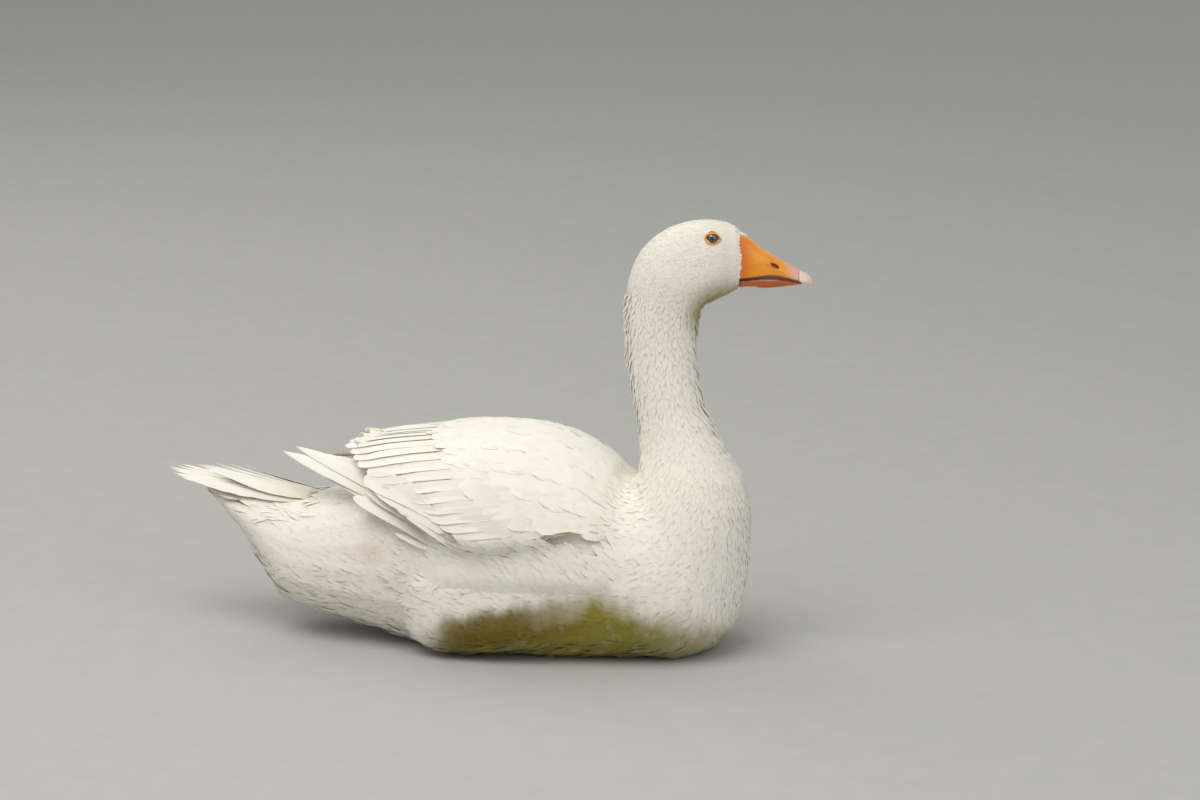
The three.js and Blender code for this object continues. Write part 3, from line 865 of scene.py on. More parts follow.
def eye_share(points):
    """How far from the nearer eye each point is, 1 at the lid's outer edge, and how far ahead."""
    shares, ahead = [], []
    for side in SIDES.values():
        centre, forward, up, _ = eye_axes(side)
        offset = (points - centre) / MM
        right_side = points[:, 1] * side > 0
        a, b = offset @ forward, offset @ up
        share = np.hypot((a - 0.6) / (LID_OUTER[0] + 0.4), b / LID_OUTER[1])
        shares.append(np.where(right_side, share, 99))
        ahead.append(a)
    nearer = np.argmin(shares, axis=0)
    rows = np.arange(len(points))
    return np.array(shares)[nearer, rows], np.array(ahead)[nearer, rows]


def head_feathers(roots, lengths, widths, lifts):
    """Feathers are shortest in front of the eye, where they run up to its bare ring."""
    share, ahead = eye_share(roots)
    room = np.maximum(share - 1, 0) * 7.5 * MM + 1.0 * MM
    crowded = (ahead > -2) & (share < 1.9)
    size = np.where(crowded, np.minimum(1, room / lengths), 1)
    face = 1 - 0.25 * smoothstep(0.215, 0.25, roots[:, 0])
    return lengths * size * face, widths * np.sqrt(size) * face, lifts * size


def neck_feathers(roots, lengths, widths, lifts):
    """Longer feathers down the neck, in furrows along it, with tufts that stand off the nape."""
    along, around, _ = body_place(roots)
    down = smoothstep(0.42, 0.24, roots[:, 2])
    furrow = 0.5 + 0.5 * np.sin(2 * math.pi * FURROWS * around + 5 * along + 1.5 * np.sin(60 * along))
    nape = smoothstep(0.09, 0.03, np.abs(around - 0.5))
    throat = smoothstep(0.07, 0.02, np.minimum(around, 1 - around))
    standing = (random.random(len(roots)) < 0.35) * (2.8 * nape + 1.8 * throat)
    fading = 0.35 + 0.65 * smoothstep(0.20, 0.26, roots[:, 2])
    lifts = lifts * (0.35 + 1.0 * furrow + standing) * fading
    return lengths * (0.7 + 0.45 * down), widths * (0.85 + 0.35 * down), lifts


def clumps(points, size):
    """A smooth number from 0 to 1 over space that changes within the size."""
    return np.array([0.5 + 0.5 * noise.noise(Vector(p / size)) for p in points])


def body_feathers(roots, lengths, widths, lifts):
    """Feathers grow longer from the foot of the neck to the flanks and lie in soft waves."""
    size = 0.62 + 0.38 * smoothstep(0.21, 0.12, roots[:, 2])
    wave = 0.5 + clumps(roots, 0.018)
    return lengths * size, widths * size, lifts * size * wave


def loose_down(roots, lengths, widths, lifts):
    """Down lies in tufts that stand up together."""
    tuft = smoothstep(0.45, 0.75, clumps(roots, 0.011))
    return lengths * (0.8 + 0.5 * tuft), widths, lifts * (0.25 + 1.6 * tuft)


BODY_BARBS, QUILL_BARBS = 20, 90   # lines along a vane


def grow_small_feathers(surface):
    """The coat of the head, neck, trunk, thighs and the front of the wings."""
    x, _, z = surface.centres.T
    dither = random.normal(0, 1, len(x))
    share, _ = eye_share(surface.centres)
    high, loose = z + 0.004 * dither, z + 0.010 * dither
    trunk, neck, head = (owned(surface, name) for name in ("trunk", "neck", "head"))
    wings, thighs = (owned(surface, f"{name}_right", f"{name}_left") for name in ("wing", "thigh"))
    _, angle, deep = wing_place(surface.centres)
    edge = covert_edge(angle)
    on_wing = wings & (deep < COAT_DEPTH["body"] + 3.0 * MM) & (x > edge + 12 * MM)
    wing_rear = wings & (x < edge) & (x > -0.12) & (angle < math.radians(60))
    on_neck = (((neck | head) & (high < 0.372)) | (trunk & (z > 0.18))) & (loose > 0.215)
    on_trunk = (trunk | neck) & (loose < 0.228)
    down = downy(surface, trunk, thighs)
    face, face_edge, chin = face_ground()
    grow("head", surface, head & (share > 1.0) & (high > 0.366), POINTED, (5.4, 2.3, 1.35, 0.6),
         0.8, shape=head_feathers)
    grow("face_edge", face, face_edge, POINTED, (3.4, 1.5, 0.85, 0.45), 0.8)
    grow("chin", face, chin, POINTED, (7, 2.4, 1.3, 0.25), 0.8)
    grow("neck", surface, on_neck, POINTED, (12, 4.4, 2.5, 0.9), 0.87, 0.10, neck_feathers)
    grow("trunk", surface, on_trunk, POINTED, (17, 6.5, 3.3, 0.8), 0.85, shape=body_feathers)
    grow("thighs", surface, thighs, POINTED, (17, 6.5, 3.3, 1.2), 0.8, shape=body_feathers)
    grow("flanks", *flank_ground(), POINTED, (26, 9, 3.6, 2.0), 0.8, shape=flank_feathers, rise=0.65)
    grow("coverts", surface, on_wing, BROAD, (34, 18, 5.5, 0.9), 0.85, shape=covert_feathers,
         rise=0.12)
    grow("wing_rear", surface, wing_rear, BROAD, (44, 15, 6, 0.9), 0.85, rise=0.45)
    grow("rump", *rump_ground(), POINTED, (22, 9, 4.0, 0.9), 0.8)
    grow("down", surface, down, POINTED, (20, 6, 3.3, 1.7), 0.85, 0.3, loose_down)


# ---- Long feathers --------------------------------------------------------------------------

COLUMNS = np.array([-1, -0.5, 0, 0.5, 1])       # across a long feather's upper face
UNDER = COLUMNS[1:-1]                           # and its lower one, which shares the edges


class Quill:
    """A long feather's shape: half width and thickness in millimetres, and its outline."""

    def __init__(self, half_width, thickness=0.8, stations=20, blunt=0.25, point=0.5, root=0.6,
                 camber=0.12, ragged=0.06, tilt=0.0):
        self.half_width, self.thickness = half_width * MM, thickness * MM
        self.v = 1 - (1 - np.linspace(0, 1, stations)) ** 1.35
        body = root + (1 - root) * smoothstep(0, 0.4, self.v)
        end = np.clip((self.v - 1 + blunt) / blunt, 0, 1)
        self.outline = np.maximum(body * (1 - end ** 2) ** point, 0.03)
        self.camber, self.ragged, self.tilt = camber, ragged, tilt


def quill_triangles(stations):
    """Triangles of a closed long feather: rings of the upper row and back along the lower one."""
    ring = len(COLUMNS) + len(UNDER)
    last = (stations - 1) * ring
    faces = tube_triangles(stations, ring)
    for a in range(1, ring - 1):
        faces += [[0, a + 1, a], [last, last + a, last + a + 1]]
    return np.array(faces)


class LongFeathers:
    """Collects long feathers of one shape's number of stations and makes them a piece."""

    def __init__(self):
        self.parts = []

    def add(self, path, ups, quill, scale=1.0, turn=1):
        """One feather along a path of as many points as the quill has stations."""
        tangent = unit(np.gradient(path, axis=0))
        across = unit(np.cross(ups, tangent))
        ups = unit(np.cross(tangent, across))
        columns = np.concatenate([COLUMNS, UNDER[::-1]])
        edges = 1 - quill.ragged * random.random((len(path), 2)) * smoothstep(0.2, 0.5, quill.v)[:, None]
        edge = np.where(columns[None] < 0, edges[:, :1], edges[:, 1:])
        half = quill.half_width * scale * quill.outline[:, None] * edge
        out = half * columns[None]
        thick = quill.thickness * 0.5 * (1 - np.abs(columns)) * (1 - 0.5 * quill.v[:, None])
        thick[:, len(COLUMNS):] *= -1
        lift = thick - quill.camber * half * columns ** 2 + quill.tilt * turn * out
        points = path[:, None] + across[:, None] * out[:, :, None] + ups[:, None] * lift[:, :, None]
        vane = np.stack([np.broadcast_to((columns + 1) / 2, out.shape),
                         np.broadcast_to(quill.v[:, None], out.shape)], axis=2)
        self.parts.append((points.reshape(-1, 3), vane.reshape(-1, 2)))

    def build(self, name, material, *nodes):
        """The feathers as one piece."""
        points, vanes_of = zip(*self.parts)
        count, size = len(points), len(points[0])
        ring, wide = len(COLUMNS) + len(UNDER), len(COLUMNS) - 1
        vane = np.concatenate(vanes_of)
        roots = np.array([one[2] for one in points])
        patch = np.repeat(unwrapped(roots), size, axis=0) + (vane - 0.5) * OF_PATCH
        obj = new_object(name, above_floor(np.concatenate(points)),
                         repeated(quill_triangles(size // ring), count, size), material,
                         {"OFBake": patch, "Vane": vane}, tone=np.repeat(random.random(count), size))
        starts = range(0, size - ring, ring)
        mark_rims(obj.data, size, [(a + b, a + b + ring) for a in starts for b in (0, wide)])
        return finished(obj, "plumage", *nodes)


def curve(controls, v):
    """A smooth curve through two ends, drawn to the points between them (Bezier)."""
    points = [np.asarray(c, float)[None] for c in controls]
    v = v[:, None]
    while len(points) > 1:
        points = [a * (1 - v) + b * v for a, b in zip(points, points[1:])]
    return points[0]


def wing_normals(x, angle, side):
    """The wing surface's outward normals."""
    step = 0.002
    along = wing_point(x + step, angle, side) - wing_point(x - step, angle, side)
    around = wing_point(x, angle + step, side) - wing_point(x, angle - step, side)
    return unit(np.cross(along, around)) * side


# Where the wing's small feathers end over the roots of its long ones: x in mm and degrees up.
COVERT_EDGE = [(56, 7), (50, 15), (45, 19), (33, 23), (18, 30), (10, 35), (1, 41), (-7, 47),
               (-21, 57), (-36, 72), (-44, 84)]
# The long feathers over the wing from the lowest: root and tip in the same way.
SECONDARIES = [
    ((84, 13), (6, 10.5)), ((79, 16), (-6, 12)), ((73, 19.5), (-17, 14.5)), ((67, 23), (-28, 17.5)),
    ((60, 27), (-39, 21)), ((52, 31), (-50, 25)), ((43, 35.5), (-61, 29.5)), ((34, 40), (-75, 35)),
    ((26, 45), (-98, 40)), ((18, 50), (-115, 45.5)), ((11, 56), (-131, 52)), ((6, 62), (-132, 58)),
    ((2, 68), (-141, 65)), ((-1, 75), (-150, 73)), ((-3, 82), (-150, 81)), ((-4, 88), (-141, 88)),
]
# Wide coverts of the primaries in the same way: they fill the gap between those and the blade.
GAP_COVERTS = [((20, 2), (-82, 31)), ((30, 5), (-100, 37)), ((40, 9), (-116, 41))]
SECONDARY = {"half_width": 12.5, "thickness": 0.3, "blunt": 0.22, "camber": 0.07, "tilt": 0.015,
             "ragged": 0.03}
ROOT_DEPTH = 2.5 * MM              # of the long feathers' roots, under the skin
TIP_DEPTH = 0.4 * MM               # of their tips, under the wing's outer surface
GAP_DEPTH = 0.9 * MM
# The outer feathers, from the lowest: root and tip as above, half width and outward bow.
PRIMARIES = [
    ((10, 98, 94), (-80, 101, 131), 6, 8), ((7, 98, 106), (-184, 30, 176), 9, 22),
    ((5, 98, 114), (-222, 13, 189), 9, 21), ((1, 98, 122), (-208, 13, 195), 8, 19),
    ((-5, 98, 130), (-186, 15, 190), 10, 17), ((-12, 98, 138), (-166, 21, 189), 10, 13),
    ((-22, 97, 146), (-150, 28, 189), 10.5, 10),
]
# Their coverts, which close over them like one smooth blade.
PRIMARY_COVERTS = [
    ((14, 99, 92), (-128, 82, 162), 9, 18), ((12, 99, 102), (-114, 84, 172), 10, 16),
    ((8, 99, 112), (-99, 89, 174), 10, 14), ((3, 99, 122), (-84, 95, 172), 10, 13),
]
FAR_TIPS_DROP = 15                  # the left wing's tips lie lower, under the right one's


def add_wing_rows(feathers, side, surface, rows, depth):
    """Long feathers that rise from the skin and lie a little under the wing's outer surface."""
    quill = Quill(**SECONDARY)
    buried = ROOT_DEPTH * (1 - smoothstep(0, 0.4, quill.v))[:, None]
    risen = smoothstep(0.25, 0.75, quill.v)[:, None]
    for root, tip in rows:
        root, tip = np.array(root, float), np.array(tip, float)
        place = root + (tip - root) * quill.v[:, None]
        place += random.normal(0, 1, 2) * (2.0, 0.3) * quill.v[:, None]
        x, angle = place[:, 0] * MM, np.radians(place[:, 1])
        ups = wing_normals(x, angle, side)
        outer = wing_point(x, angle, side) - ups * depth
        inner, normals = surface.nearest(outer)
        path = (inner - normals * buried) * (1 - risen) + outer * risen
        feathers.add(path, ups, quill, random.uniform(0.96, 1.04), turn=-side)


def mirrored(place, side):
    """A table's place, put on its side, in metres."""
    return np.array([place[0], side * place[1], place[2]]) * MM


def add_blade(feathers, side, rows, **shape):
    """Flat feathers side by side, bowed outward from root to tip."""
    drop = FAR_TIPS_DROP * MM if side > 0 else 0
    out = unit(np.array([-0.1, side * 0.8, 0.75]))
    for root, tip, half_width, bow in rows:
        quill = Quill(half_width, **shape)
        start, end = mirrored(root, side), mirrored(tip, side) - [0, 0, drop]
        path = curve([start, (start + end) / 2 + out * 2 * bow * MM, end], quill.v)
        feathers.add(path, np.tile(out, (len(path), 1)), quill, turn=-side)


# Fans over the tail: how many feathers, the root's x and z, then length, spread in degrees and,
# in the middle and at the sides, how far the tips rise and how far they sink.
TAIL_FAN = (15, (-190, 141), 162, 11, 21, 6)
TAIL_COVERTS_FAN = (7, (-190, 144), 122, 8, 22, 5)


def add_tail_fan(feathers, quill, count, root, length, spread, lift, droop):
    """A fan of feathers, highest in the middle. root is x and z, in mm as the rest."""
    for k in range(count):
        s = 2 * k / (count - 1) - 1
        angle = math.radians(spread) * s
        reach = length * (1 - 0.26 * s * s) * random.uniform(0.93, 1.0)
        sink = droop * s * s
        low = 0.8 * (1 - abs(s))
        start = np.array([root[0], 16 * s, root[1] - 0.3 * sink + low]) * MM
        end = np.array([root[0] - reach * math.cos(angle), 16 * s + reach * math.sin(angle),
                        root[1] + lift - sink + low]) * MM
        middle = (start + end) / 2 + np.array([0, 0, -1.5 * MM])
        path = curve([start, middle, end], quill.v)
        ups = np.tile(unit(np.array([0, 0.5 * s, 1.0])), (len(path), 1))
        feathers.add(path, ups, quill, turn=np.sign(s))


def build_long_feathers(surface):
    """The wings' and the tail's long feathers, on both sides."""
    material = plumage("plumage_quills", QUILL_BARBS, shaft=0.5, bump=0.2)
    for name, side in SIDES.items():
        wing = LongFeathers()
        add_wing_rows(wing, side, surface, GAP_COVERTS, GAP_DEPTH)
        add_wing_rows(wing, side, surface, SECONDARIES, TIP_DEPTH)
        wing.build(f"wing_feathers_{name}", material)
        primaries = LongFeathers()
        add_blade(primaries, side, PRIMARIES, thickness=1.2, blunt=0.35, point=0.9, root=0.8,
                  ragged=0.08, tilt=0.09)
        add_blade(primaries, side, PRIMARY_COVERTS, thickness=0.5, blunt=0.3, root=0.8, tilt=0.01)
        primaries.build(f"primary_feathers_{name}", material, f"primaries_{name}")
    tail = LongFeathers()
    fan = Quill(9.5, thickness=1.2, blunt=0.5, point=1.0, root=0.7, ragged=0.16, tilt=-0.08)
    add_tail_fan(tail, fan, *TAIL_FAN)
    coverts = Quill(8, thickness=0.8, blunt=0.6, point=1.0, ragged=0.16)
    add_tail_fan(tail, coverts, *TAIL_COVERTS_FAN)
    tail.build("tail_feathers", material, "tail")


# ---- The head: bill, eyes and lids -------------------------------------------------------------

NOSTRIL_MM = ((289.1, 405.7), (298.0, 400.6))      # the slit's ends: x, z in the head's axes
NOSTRIL_HALF_HEIGHT = 2.0 * MM
NOSTRIL_DEPTH = 3.0 * MM
BILL_VOXEL = 0.6 * MM

BILL_ORANGE = (0.80, 0.30, 0.014, 1)
BILL_DEEP = (0.66, 0.15, 0.006, 1)
BILL_RIDGE = (0.76, 0.37, 0.14, 1)
BILL_LILAC = (0.70, 0.38, 0.36, 1)
BILL_LOWER = (0.42, 0.085, 0.012, 1)
BILL_RED = (0.16, 0.018, 0.008, 1)
NAIL_PALE = (0.80, 0.66, 0.58, 1)
LID_YELLOW = (0.78, 0.36, 0.05, 1)
LID_RED = (0.10, 0.02, 0.008, 1)


def head_place(shader):
    """The place in the head's own axes, and its x, y and z."""
    where, *_ = shader.place()
    turned = shader.node("ShaderNodeVectorRotate", 0,
                         {"Vector": where, "Center": (NECK_AXIS_X, 0, 0), "Angle": -HEAD_YAW},
                         rotation_type="Z_AXIS")
    return shader.split(turned)


def horn(shader, colour, where, roughness):
    """Finishes a shader as bill or nail: horn with fine pores and streaks."""
    pores = shader.noise(where, 900, 3.0)
    streaks = shader.noise(where, 160, 4.0, (0.3, 1, 1))
    shader.set(Base_Color=colour, Roughness=roughness, Coat_Weight=0.12, Coat_Roughness=0.3,
               Subsurface_Weight=0.08, Subsurface_Radius=(0.004, 0.0015, 0.0008))
    shader.bump(pores + streaks * 1.5, 0.25, 0.25 * MM)
    return shader.material


def upper_bill_material():
    shader = Shader("bill_upper_horn")
    where, x, y, z = head_place(shader)
    cloudy = shader.noise(where, 120, 4.0, (0.5, 1, 1))
    base = shader.mix(shader.step(x, 0.258, 0.276), BILL_DEEP, BILL_ORANGE)
    base = shader.mix(shader.step(cloudy, 0.4, 0.7) * 0.35, base, BILL_DEEP)
    base = shader.mix(shader.step(abs(y), 0.0095, 0.003) * 0.85, base, BILL_RIDGE)
    base = shader.mix(shader.step(x + z * 0.25, 0.399, 0.413), base, BILL_RIDGE)
    base = shader.mix(shader.step(x + z * 0.5, 0.504, 0.514) * 0.9, base, BILL_LILAC)
    base = shader.mix(shader.attribute("rim") * 0.75, base, BILL_LOWER)
    # Dark red in the nostril's dent is painted shade of its opening.
    base = shader.mix(shader.attribute("hollow"), base, BILL_RED)
    return horn(shader, base, where, 0.42)


def lower_bill_material():
    shader = Shader("bill_lower_horn")
    where, x, *_ = head_place(shader)
    base = shader.mix(shader.noise(where, 150, 4.0), BILL_LOWER, BILL_DEEP)
    # The rim's pale lilac stripe is a painted highlight along the lower bill's upper edge.
    base = shader.mix(shader.attribute("rim") * 0.85, base, BILL_LILAC)
    base = shader.mix(shader.step(x, 0.262, 0.256), base, BILL_RED)
    return horn(shader, base, where, 0.45)


def nail_material():
    shader = Shader("nail_horn")
    where, *_ = head_place(shader)
    base = shader.mix(shader.noise(where, 200, 4.0) * 0.5, NAIL_PALE, BILL_LILAC)
    return horn(shader, base, where, 0.36)


def bill_shape(node):
    """The node's form made fine and smooth."""
    return remeshed(*copies_joined([node], 0.12 * MM), BILL_VOXEL, 6)


def nostril_share(head):
    """How far from the nostril's middle each point is: 1 at its rim."""
    first, last = np.array(NOSTRIL_MM) * MM
    middle, half = (first + last) / 2, np.linalg.norm(last - first) / 2
    way = (last - first) / (2 * half)
    offset = head[:, [0, 2]] - middle
    along = offset @ way
    aside = offset @ np.array([-way[1], way[0]])
    return np.hypot(along / (half + 0.6 * MM), aside / NOSTRIL_HALF_HEIGHT)


def build_bill():
    """The two halves of the bill and the nail, with nostrils and cutting edges."""
    vertices, triangles = bill_shape("bill_upper")
    normals = vertex_normals(vertices, triangles)
    head = to_head(vertices)
    q = nostril_share(head)
    outside = smoothstep(2.0, 4.0, np.abs(head[:, 1]) / MM)
    # hollow also carries the nostril's painted shade.
    hollow = (1 - smoothstep(0.55, 1.1, q)) * outside
    lip = np.exp(-((q - 1.55) / 0.35) ** 2) * outside
    inward = head * [0, 1, 0]
    inward = from_head(head - unit(inward) * (hollow * NOSTRIL_DEPTH)[:, None]) - vertices
    vertices = vertices + inward + normals * (lip * 0.45 * MM)[:, None]
    base = 1 - smoothstep(257.2, 259.5, head[:, 0] / MM)
    low = (head[:, 2] - np.interp(head[:, 0], *CUTTING_EDGE)) / MM
    rim = np.maximum(base * 0.9, 1 - smoothstep(0.6, 2.4, low))
    finished(new_object("bill_upper_horn", vertices, triangles, upper_bill_material(),
                        hollow=hollow, rim=rim), "bill", "bill_upper")
    vertices, triangles = bill_shape("bill_lower")
    vertices = jaw_raised(vertices)
    head = to_head(vertices)
    # A painted highlight: a pale stripe along the lower bill's upper rim.
    pale = smoothstep(387.2, 388.4, head[:, 2] / MM) * smoothstep(264, 270, head[:, 0] / MM)
    pale *= 1 - smoothstep(294, 300, head[:, 0] / MM)
    finished(new_object("bill_lower_horn", vertices, triangles, lower_bill_material(), rim=pale),
             "bill", "bill_lower")
    finished(new_object("bill_nail_horn", *bill_shape("bill_nail"), nail_material()),
             "nail", "bill_nail")


# The upper bill's cutting edge, as x and z in the head's axes.
CUTTING_EDGE = (np.array([257, 272, 289, 299, 309, 319]) * MM,
                np.array([390.3, 391.8, 393.6, 392.4, 389.8, 386.6]) * MM)
LAMELLAE = 24
LAMELLAE_X, LAMELLAE_REACH = 263, 41            # the first one's x, and from it to the last
LAMELLAE_Y, LAMELLAE_INWARD = 13.6, 3.2         # the first one's y, and how much less the last's is
LAMELLA_CORNERS = ((-0.75, -0.6), (0.75, -0.6), (0.75, 0.6), (-0.75, 0.6))


def build_lamellae():
    """The row of small horny teeth inside the upper bill's edge, on both sides."""
    shader = Shader("lamellae_horn")
    where, *_ = head_place(shader)
    tint = shader.mix(shader.noise(where, 300), BILL_RED, BILL_LOWER)
    material = horn(shader, tint, where, 0.5)
    vertices, triangles = [], []
    for side in SIDES.values():
        for k in range(LAMELLAE):
            x = (LAMELLAE_X + LAMELLAE_REACH * k / (LAMELLAE - 1)) * MM
            z = np.interp(x, *CUTTING_EDGE) + 0.6 * MM
            y = side * (LAMELLAE_Y - LAMELLAE_INWARD * k / (LAMELLAE - 1)) * MM
            start = len(vertices)
            vertices += [[x + dx * MM, y + dy * MM, z] for dx, dy in LAMELLA_CORNERS]
            vertices.append([x, y, z - 2.3 * MM])
            for a in range(4):
                triangles.append([start + a, start + 4, start + (a + 1) % 4])
            triangles += [[start, start + 1, start + 2], [start, start + 2, start + 3]]
    obj = new_object("bill_lamellae", from_head(vertices), np.array(triangles), material)
    finished(obj, "bill")


def eye_axes(side):
    """An eye's centre and its forward, upward and outward ways."""
    centre = from_head([[EYE_MM[0] * MM, side * EYE_MM[1] * MM, EYE_MM[2] * MM]])[0]
    ways = np.array([[1, 0, 0], [0, 0, 1], [0.10, side, 0.10]], float)
    ways = from_head(ways + [NECK_AXIS_X, 0, 0]) - [NECK_AXIS_X, 0, 0]
    out = unit(ways[2])
    forward = unit(ways[0] - out * (ways[0] @ out))
    up = unit(ways[1] - out * (ways[1] @ out) - forward * (ways[1] @ forward))
    return centre, forward, up, out


def eye_material():
    """Pupil, blue-grey iris with fine rays and a dark rim, under a clear wet coat."""
    shader = Shader("eye_iris")
    where, *_ = shader.place()
    polar = shader.attribute("tone")
    rays = shader.noise(where, 700, 4.0)
    iris = shader.mix(rays, (0.075, 0.10, 0.14, 1), (0.19, 0.225, 0.28, 1))
    iris = shader.mix(shader.step(polar, 0.13, 0.165), iris, (0.045, 0.06, 0.09, 1))
    colour = shader.mix(shader.step(polar, 0.120, 0.104), iris, (0.003, 0.003, 0.004, 1))
    colour = shader.mix(shader.step(polar, 0.178, 0.192), colour, (0.02, 0.006, 0.004, 1))
    shader.set(Base_Color=colour, Roughness=0.22, Coat_Weight=1.0, Coat_Roughness=0.02,
               Specular_IOR_Level=0.6)
    shader.bump(rays, 0.15, 0.1 * MM)
    return shader.material


def build_eye(name, side, material):
    """An eyeball whose rings run round the way it looks."""
    centre, forward, up, out = eye_axes(side)
    rings, points = 40, 48
    polar = np.linspace(0.012, 0.988, rings) * math.pi
    turn = np.linspace(0, 2 * math.pi, points, endpoint=False)
    bulge = 1 + 0.03 * np.exp(-(polar / 0.45) ** 2)
    radius = EYE_RADIUS * 0.985 * bulge[:, None, None]
    ring = np.cos(turn)[None, :, None] * forward + np.sin(turn)[None, :, None] * up
    ball = centre + radius * (np.sin(polar)[:, None, None] * ring + np.cos(polar)[:, None, None] * out)
    obj = new_object(f"eyeball_{name}", *closed_rings(ball), material,
                     tone=np.concatenate([np.repeat(polar / math.pi, points), [0, 1]]))
    finished(obj, "eye", f"eye_{name}")


def closed_rings(rings):
    """Vertices and triangles of stacked rings with a point closing each end."""
    count, points, _ = rings.shape
    ends = [rings[0].mean(axis=0), rings[-1].mean(axis=0)]
    first, last = count * points, count * points + 1
    triangles = tube_triangles(count, points)
    for a in range(points):
        b = (a + 1) % points
        triangles += [[first, b, a], [last, (count - 1) * points + a, (count - 1) * points + b]]
    return outward(np.concatenate([rings.reshape(-1, 3), ends]), np.array(triangles))


def outward(vertices, triangles):
    """The same with every face turned out, going by the whole volume."""
    corners = vertices[triangles] - vertices.mean(axis=0)
    volume = np.sum(corners[:, 0] * np.cross(corners[:, 1], corners[:, 2]))
    return vertices, triangles if volume > 0 else triangles[:, ::-1]


# The lid ring, in mm in the eye's own axes: half width and half height of the opening and of the
# outside, and how far the front corner is drawn out.
LID_INNER, LID_OUTER, LID_CORNER = (6.3, 4.8), (8.2, 6.5), 1.6
# From the corner's floor over the ring to its outer foot: the share of the way out, how much of
# the drawn corner it follows, the height over the eyeball and over the skin in mm, and the tone.
LID_ROWS = [
    (0.0, 0.0, 0.05, -9, 0), (0.0, 0.8, 0.15, 0.1, 0.12), (0.12, 0.85, 0.7, 0.5, 0.3),
    (0.4, 0.9, 0.95, 0.95, 0.5), (0.75, 1.0, 0.7, 0.8, 0.8), (1.0, 1.0, 0.15, 0.2, 0.95),
    (1.02, 1.0, -1.5, -1.2, 1.0),
]


def lid_material():
    """Warty yellow-orange skin, dark red where it meets the eye."""
    shader = Shader("lid_skin")
    where, *_ = shader.place()
    colour = shader.mix(shader.noise(where, 500), LID_YELLOW, BILL_ORANGE)
    colour = shader.mix(shader.step(shader.attribute("tone"), 0.24, 0.08), colour, LID_RED)
    shader.set(Base_Color=colour, Roughness=0.5, Subsurface_Weight=0.05)
    shader.bump(shader.noise(where, 1400, 2.0), 0.5, 0.3 * MM)
    return shader.material


def build_lid(name, side, ground, material):
    """The bare yellow ring round the eye, drawn to a corner in front."""
    centre, forward, up, out = eye_axes(side)
    steps = 56
    turn = np.linspace(0, 2 * math.pi, steps, endpoint=False)
    corner = np.exp(-((turn - np.where(turn > math.pi, 2 * math.pi, 0) + 0.15) / 0.30) ** 2)
    rings = []
    for share, drawn, over_ball, over_skin, _ in LID_ROWS:
        wide, tall = np.array(LID_INNER) + share * (np.array(LID_OUTER) - LID_INNER)
        a = (wide + drawn * LID_CORNER * corner) * MM * np.cos(turn)
        b = (tall * np.sin(turn) - 0.6 * drawn * corner) * MM
        flat = centre + a[:, None] * forward + b[:, None] * up
        on_skin, _ = ground.nearest(flat + out * 6 * MM)
        skin = (on_skin - centre) @ out + over_skin * MM
        ball = np.sqrt(np.maximum(EYE_RADIUS ** 2 - a ** 2 - b ** 2, 0)) + over_ball * MM
        height = np.maximum(ball, skin) if over_ball > 0 else np.minimum(ball, skin)
        rings.append(flat + height[:, None] * out)
    rings[0] -= (1 - corner[:, None]) * 1.2 * MM * out
    vertices = np.stack(rings, axis=1).reshape(-1, 3)
    triangles = np.array(tube_triangles(steps, len(LID_ROWS), closed=True))
    tone = np.tile([row[4] for row in LID_ROWS], steps)
    finished(new_object(f"eyelid_{name}", *outward(vertices, triangles), material, tone=tone), "eye")


def build_head_details(ground):
    """Bill, teeth, eyes and lids."""
    build_bill()
    build_lamellae()
    iris, lid = eye_material(), lid_material()
    for name, side in SIDES.items():
        build_eye(name, side, iris)
        build_lid(name, side, ground, lid)


def foot_material():
    """Orange scaled skin."""
    shader = Shader("foot_scales")
    where, *_ = shader.place()
    scales = shader.node("ShaderNodeTexVoronoi", "Distance", {"Vector": where, "Scale": 420},
                         feature="DISTANCE_TO_EDGE")
    edge = shader.step(scales, 0.0, 0.12)
    shader.set(Base_Color=shader.mix(edge, (0.35, 0.09, 0.015, 1), BILL_ORANGE), Roughness=0.6)
    shader.bump(edge, 0.6, 0.4 * MM)
    return shader.material


def finish_feet():
    """The feet keep their CAD shape and get scaled skin."""
    material = foot_material()
    for name in SIDES:
        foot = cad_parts[f"foot_{name}"]
        foot.data.materials.clear()
        foot.data.materials.append(material)


# ---- The stage: camera, floor and lights ------------------------------------------------------

TARGET = Vector((0.114, 0.0, 0.257))       # what the camera and the lamps look at
# Azimuth, elevation, distance; azimuth 0 is on the goose's right side, at -Y.
CAMERA_FROM = (12, 13, 4.63)
# The same of each lamp, then its size, power and colour.
LAMPS = {
    "key": ((-25, 60, 3.0), 2.4, 54, (1.0, 0.98, 0.93)),
    "fill": ((50, 25, 3.5), 2.5, 20, (0.98, 0.98, 1.0)),
    "back": ((-130, 40, 3.5), 2.4, 24, (1.0, 0.98, 0.95)),
}
FLOOR_REACH = 30.0


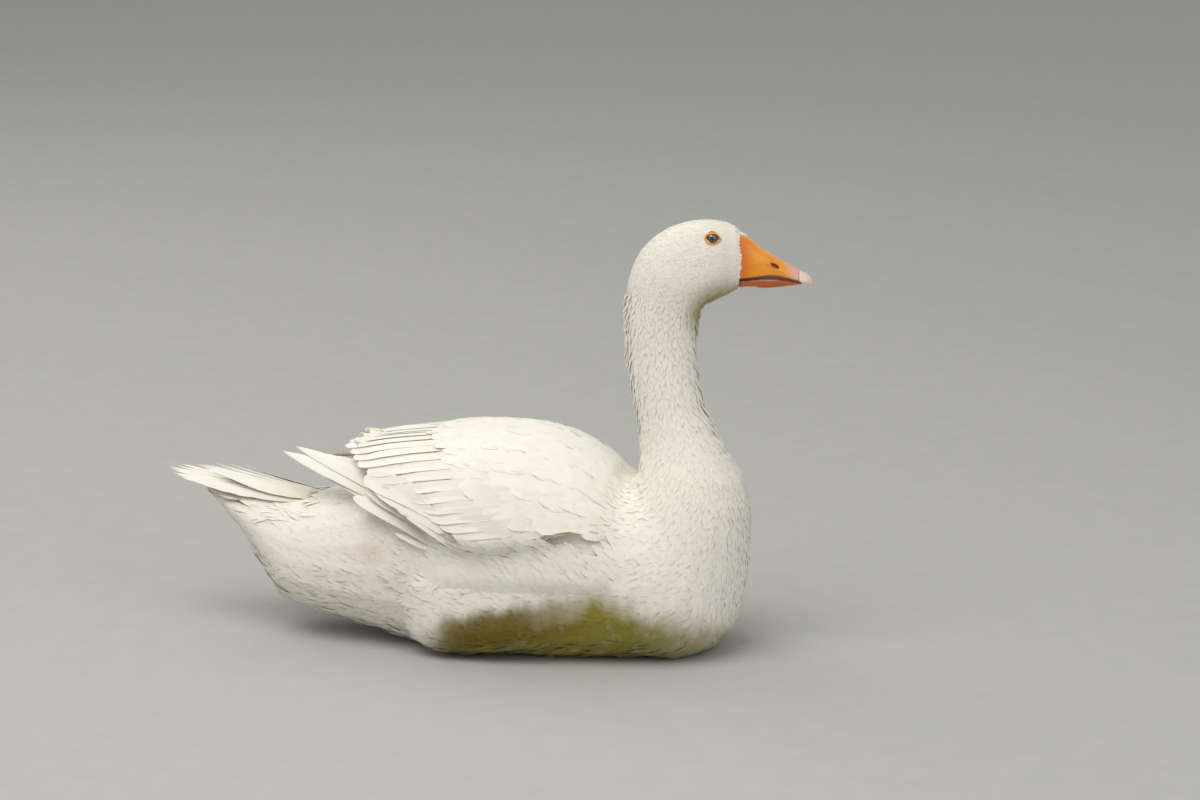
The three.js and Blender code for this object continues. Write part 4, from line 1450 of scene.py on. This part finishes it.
def aim(data, azimuth, elevation, distance):
    """Adds a camera or a lamp that looks at the target from there."""
    a, e = math.radians(azimuth), math.radians(elevation)
    back = Vector((math.sin(a) * math.cos(e), -math.cos(a) * math.cos(e), math.sin(e)))
    obj = bpy.data.objects.new(data.name, data)
    obj.location = TARGET + back * distance
    obj.rotation_euler = (-back).to_track_quat("-Z", "Y").to_euler()
    bpy.context.scene.collection.objects.link(obj)
    return obj


def add_camera():
    data = bpy.data.cameras.new("camera")
    data.lens = 135
    data.sensor_width = 36
    data.clip_end = 50
    bpy.context.scene.camera = aim(data, *CAMERA_FROM)


def add_lamps():
    for name, (place, size, power, colour) in LAMPS.items():
        data = bpy.data.lights.new(name, "AREA")
        data.shape = "DISK"
        data.size = size
        data.energy = power
        data.color = colour
        aim(data, *place)


def add_stage():
    """A plain pale floor, a soft sky and soft lamps."""
    shader = Shader("floor")
    where, *_ = shader.place()
    grain = shader.noise(where, 30, 4.0)
    shader.set(Base_Color=shader.mix(grain, (0.42, 0.42, 0.40, 1), (0.47, 0.465, 0.445, 1)),
               Roughness=0.9)
    corners = FLOOR_REACH * np.array([[-1, -1, 0], [1, -1, 0], [1, 1, 0], [-1, 1, 0]])
    floor = new_object("floor", corners, np.array([[0, 1, 2], [0, 2, 3]]), shader.material)
    world = bpy.data.worlds.new("sky")
    world.use_nodes = True
    background = world.node_tree.nodes["Background"]
    background.inputs["Color"].default_value = (0.83, 0.83, 0.82, 1)
    background.inputs["Strength"].default_value = 0.60
    bpy.context.scene.world = world
    add_lamps()


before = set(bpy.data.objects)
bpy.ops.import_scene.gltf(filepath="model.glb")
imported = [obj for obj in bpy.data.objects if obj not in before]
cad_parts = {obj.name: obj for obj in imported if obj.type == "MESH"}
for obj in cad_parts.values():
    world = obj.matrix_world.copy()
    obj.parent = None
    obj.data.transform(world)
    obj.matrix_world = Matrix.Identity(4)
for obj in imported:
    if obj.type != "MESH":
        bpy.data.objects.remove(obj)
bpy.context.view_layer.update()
surface = grown_skin()
build_skin(surface)
grow_small_feathers(surface)
build_long_feathers(surface)
build_head_details(surface)
finish_feet()
add_stage()
add_camera()
bpy.context.scene.view_settings.view_transform = "Standard"
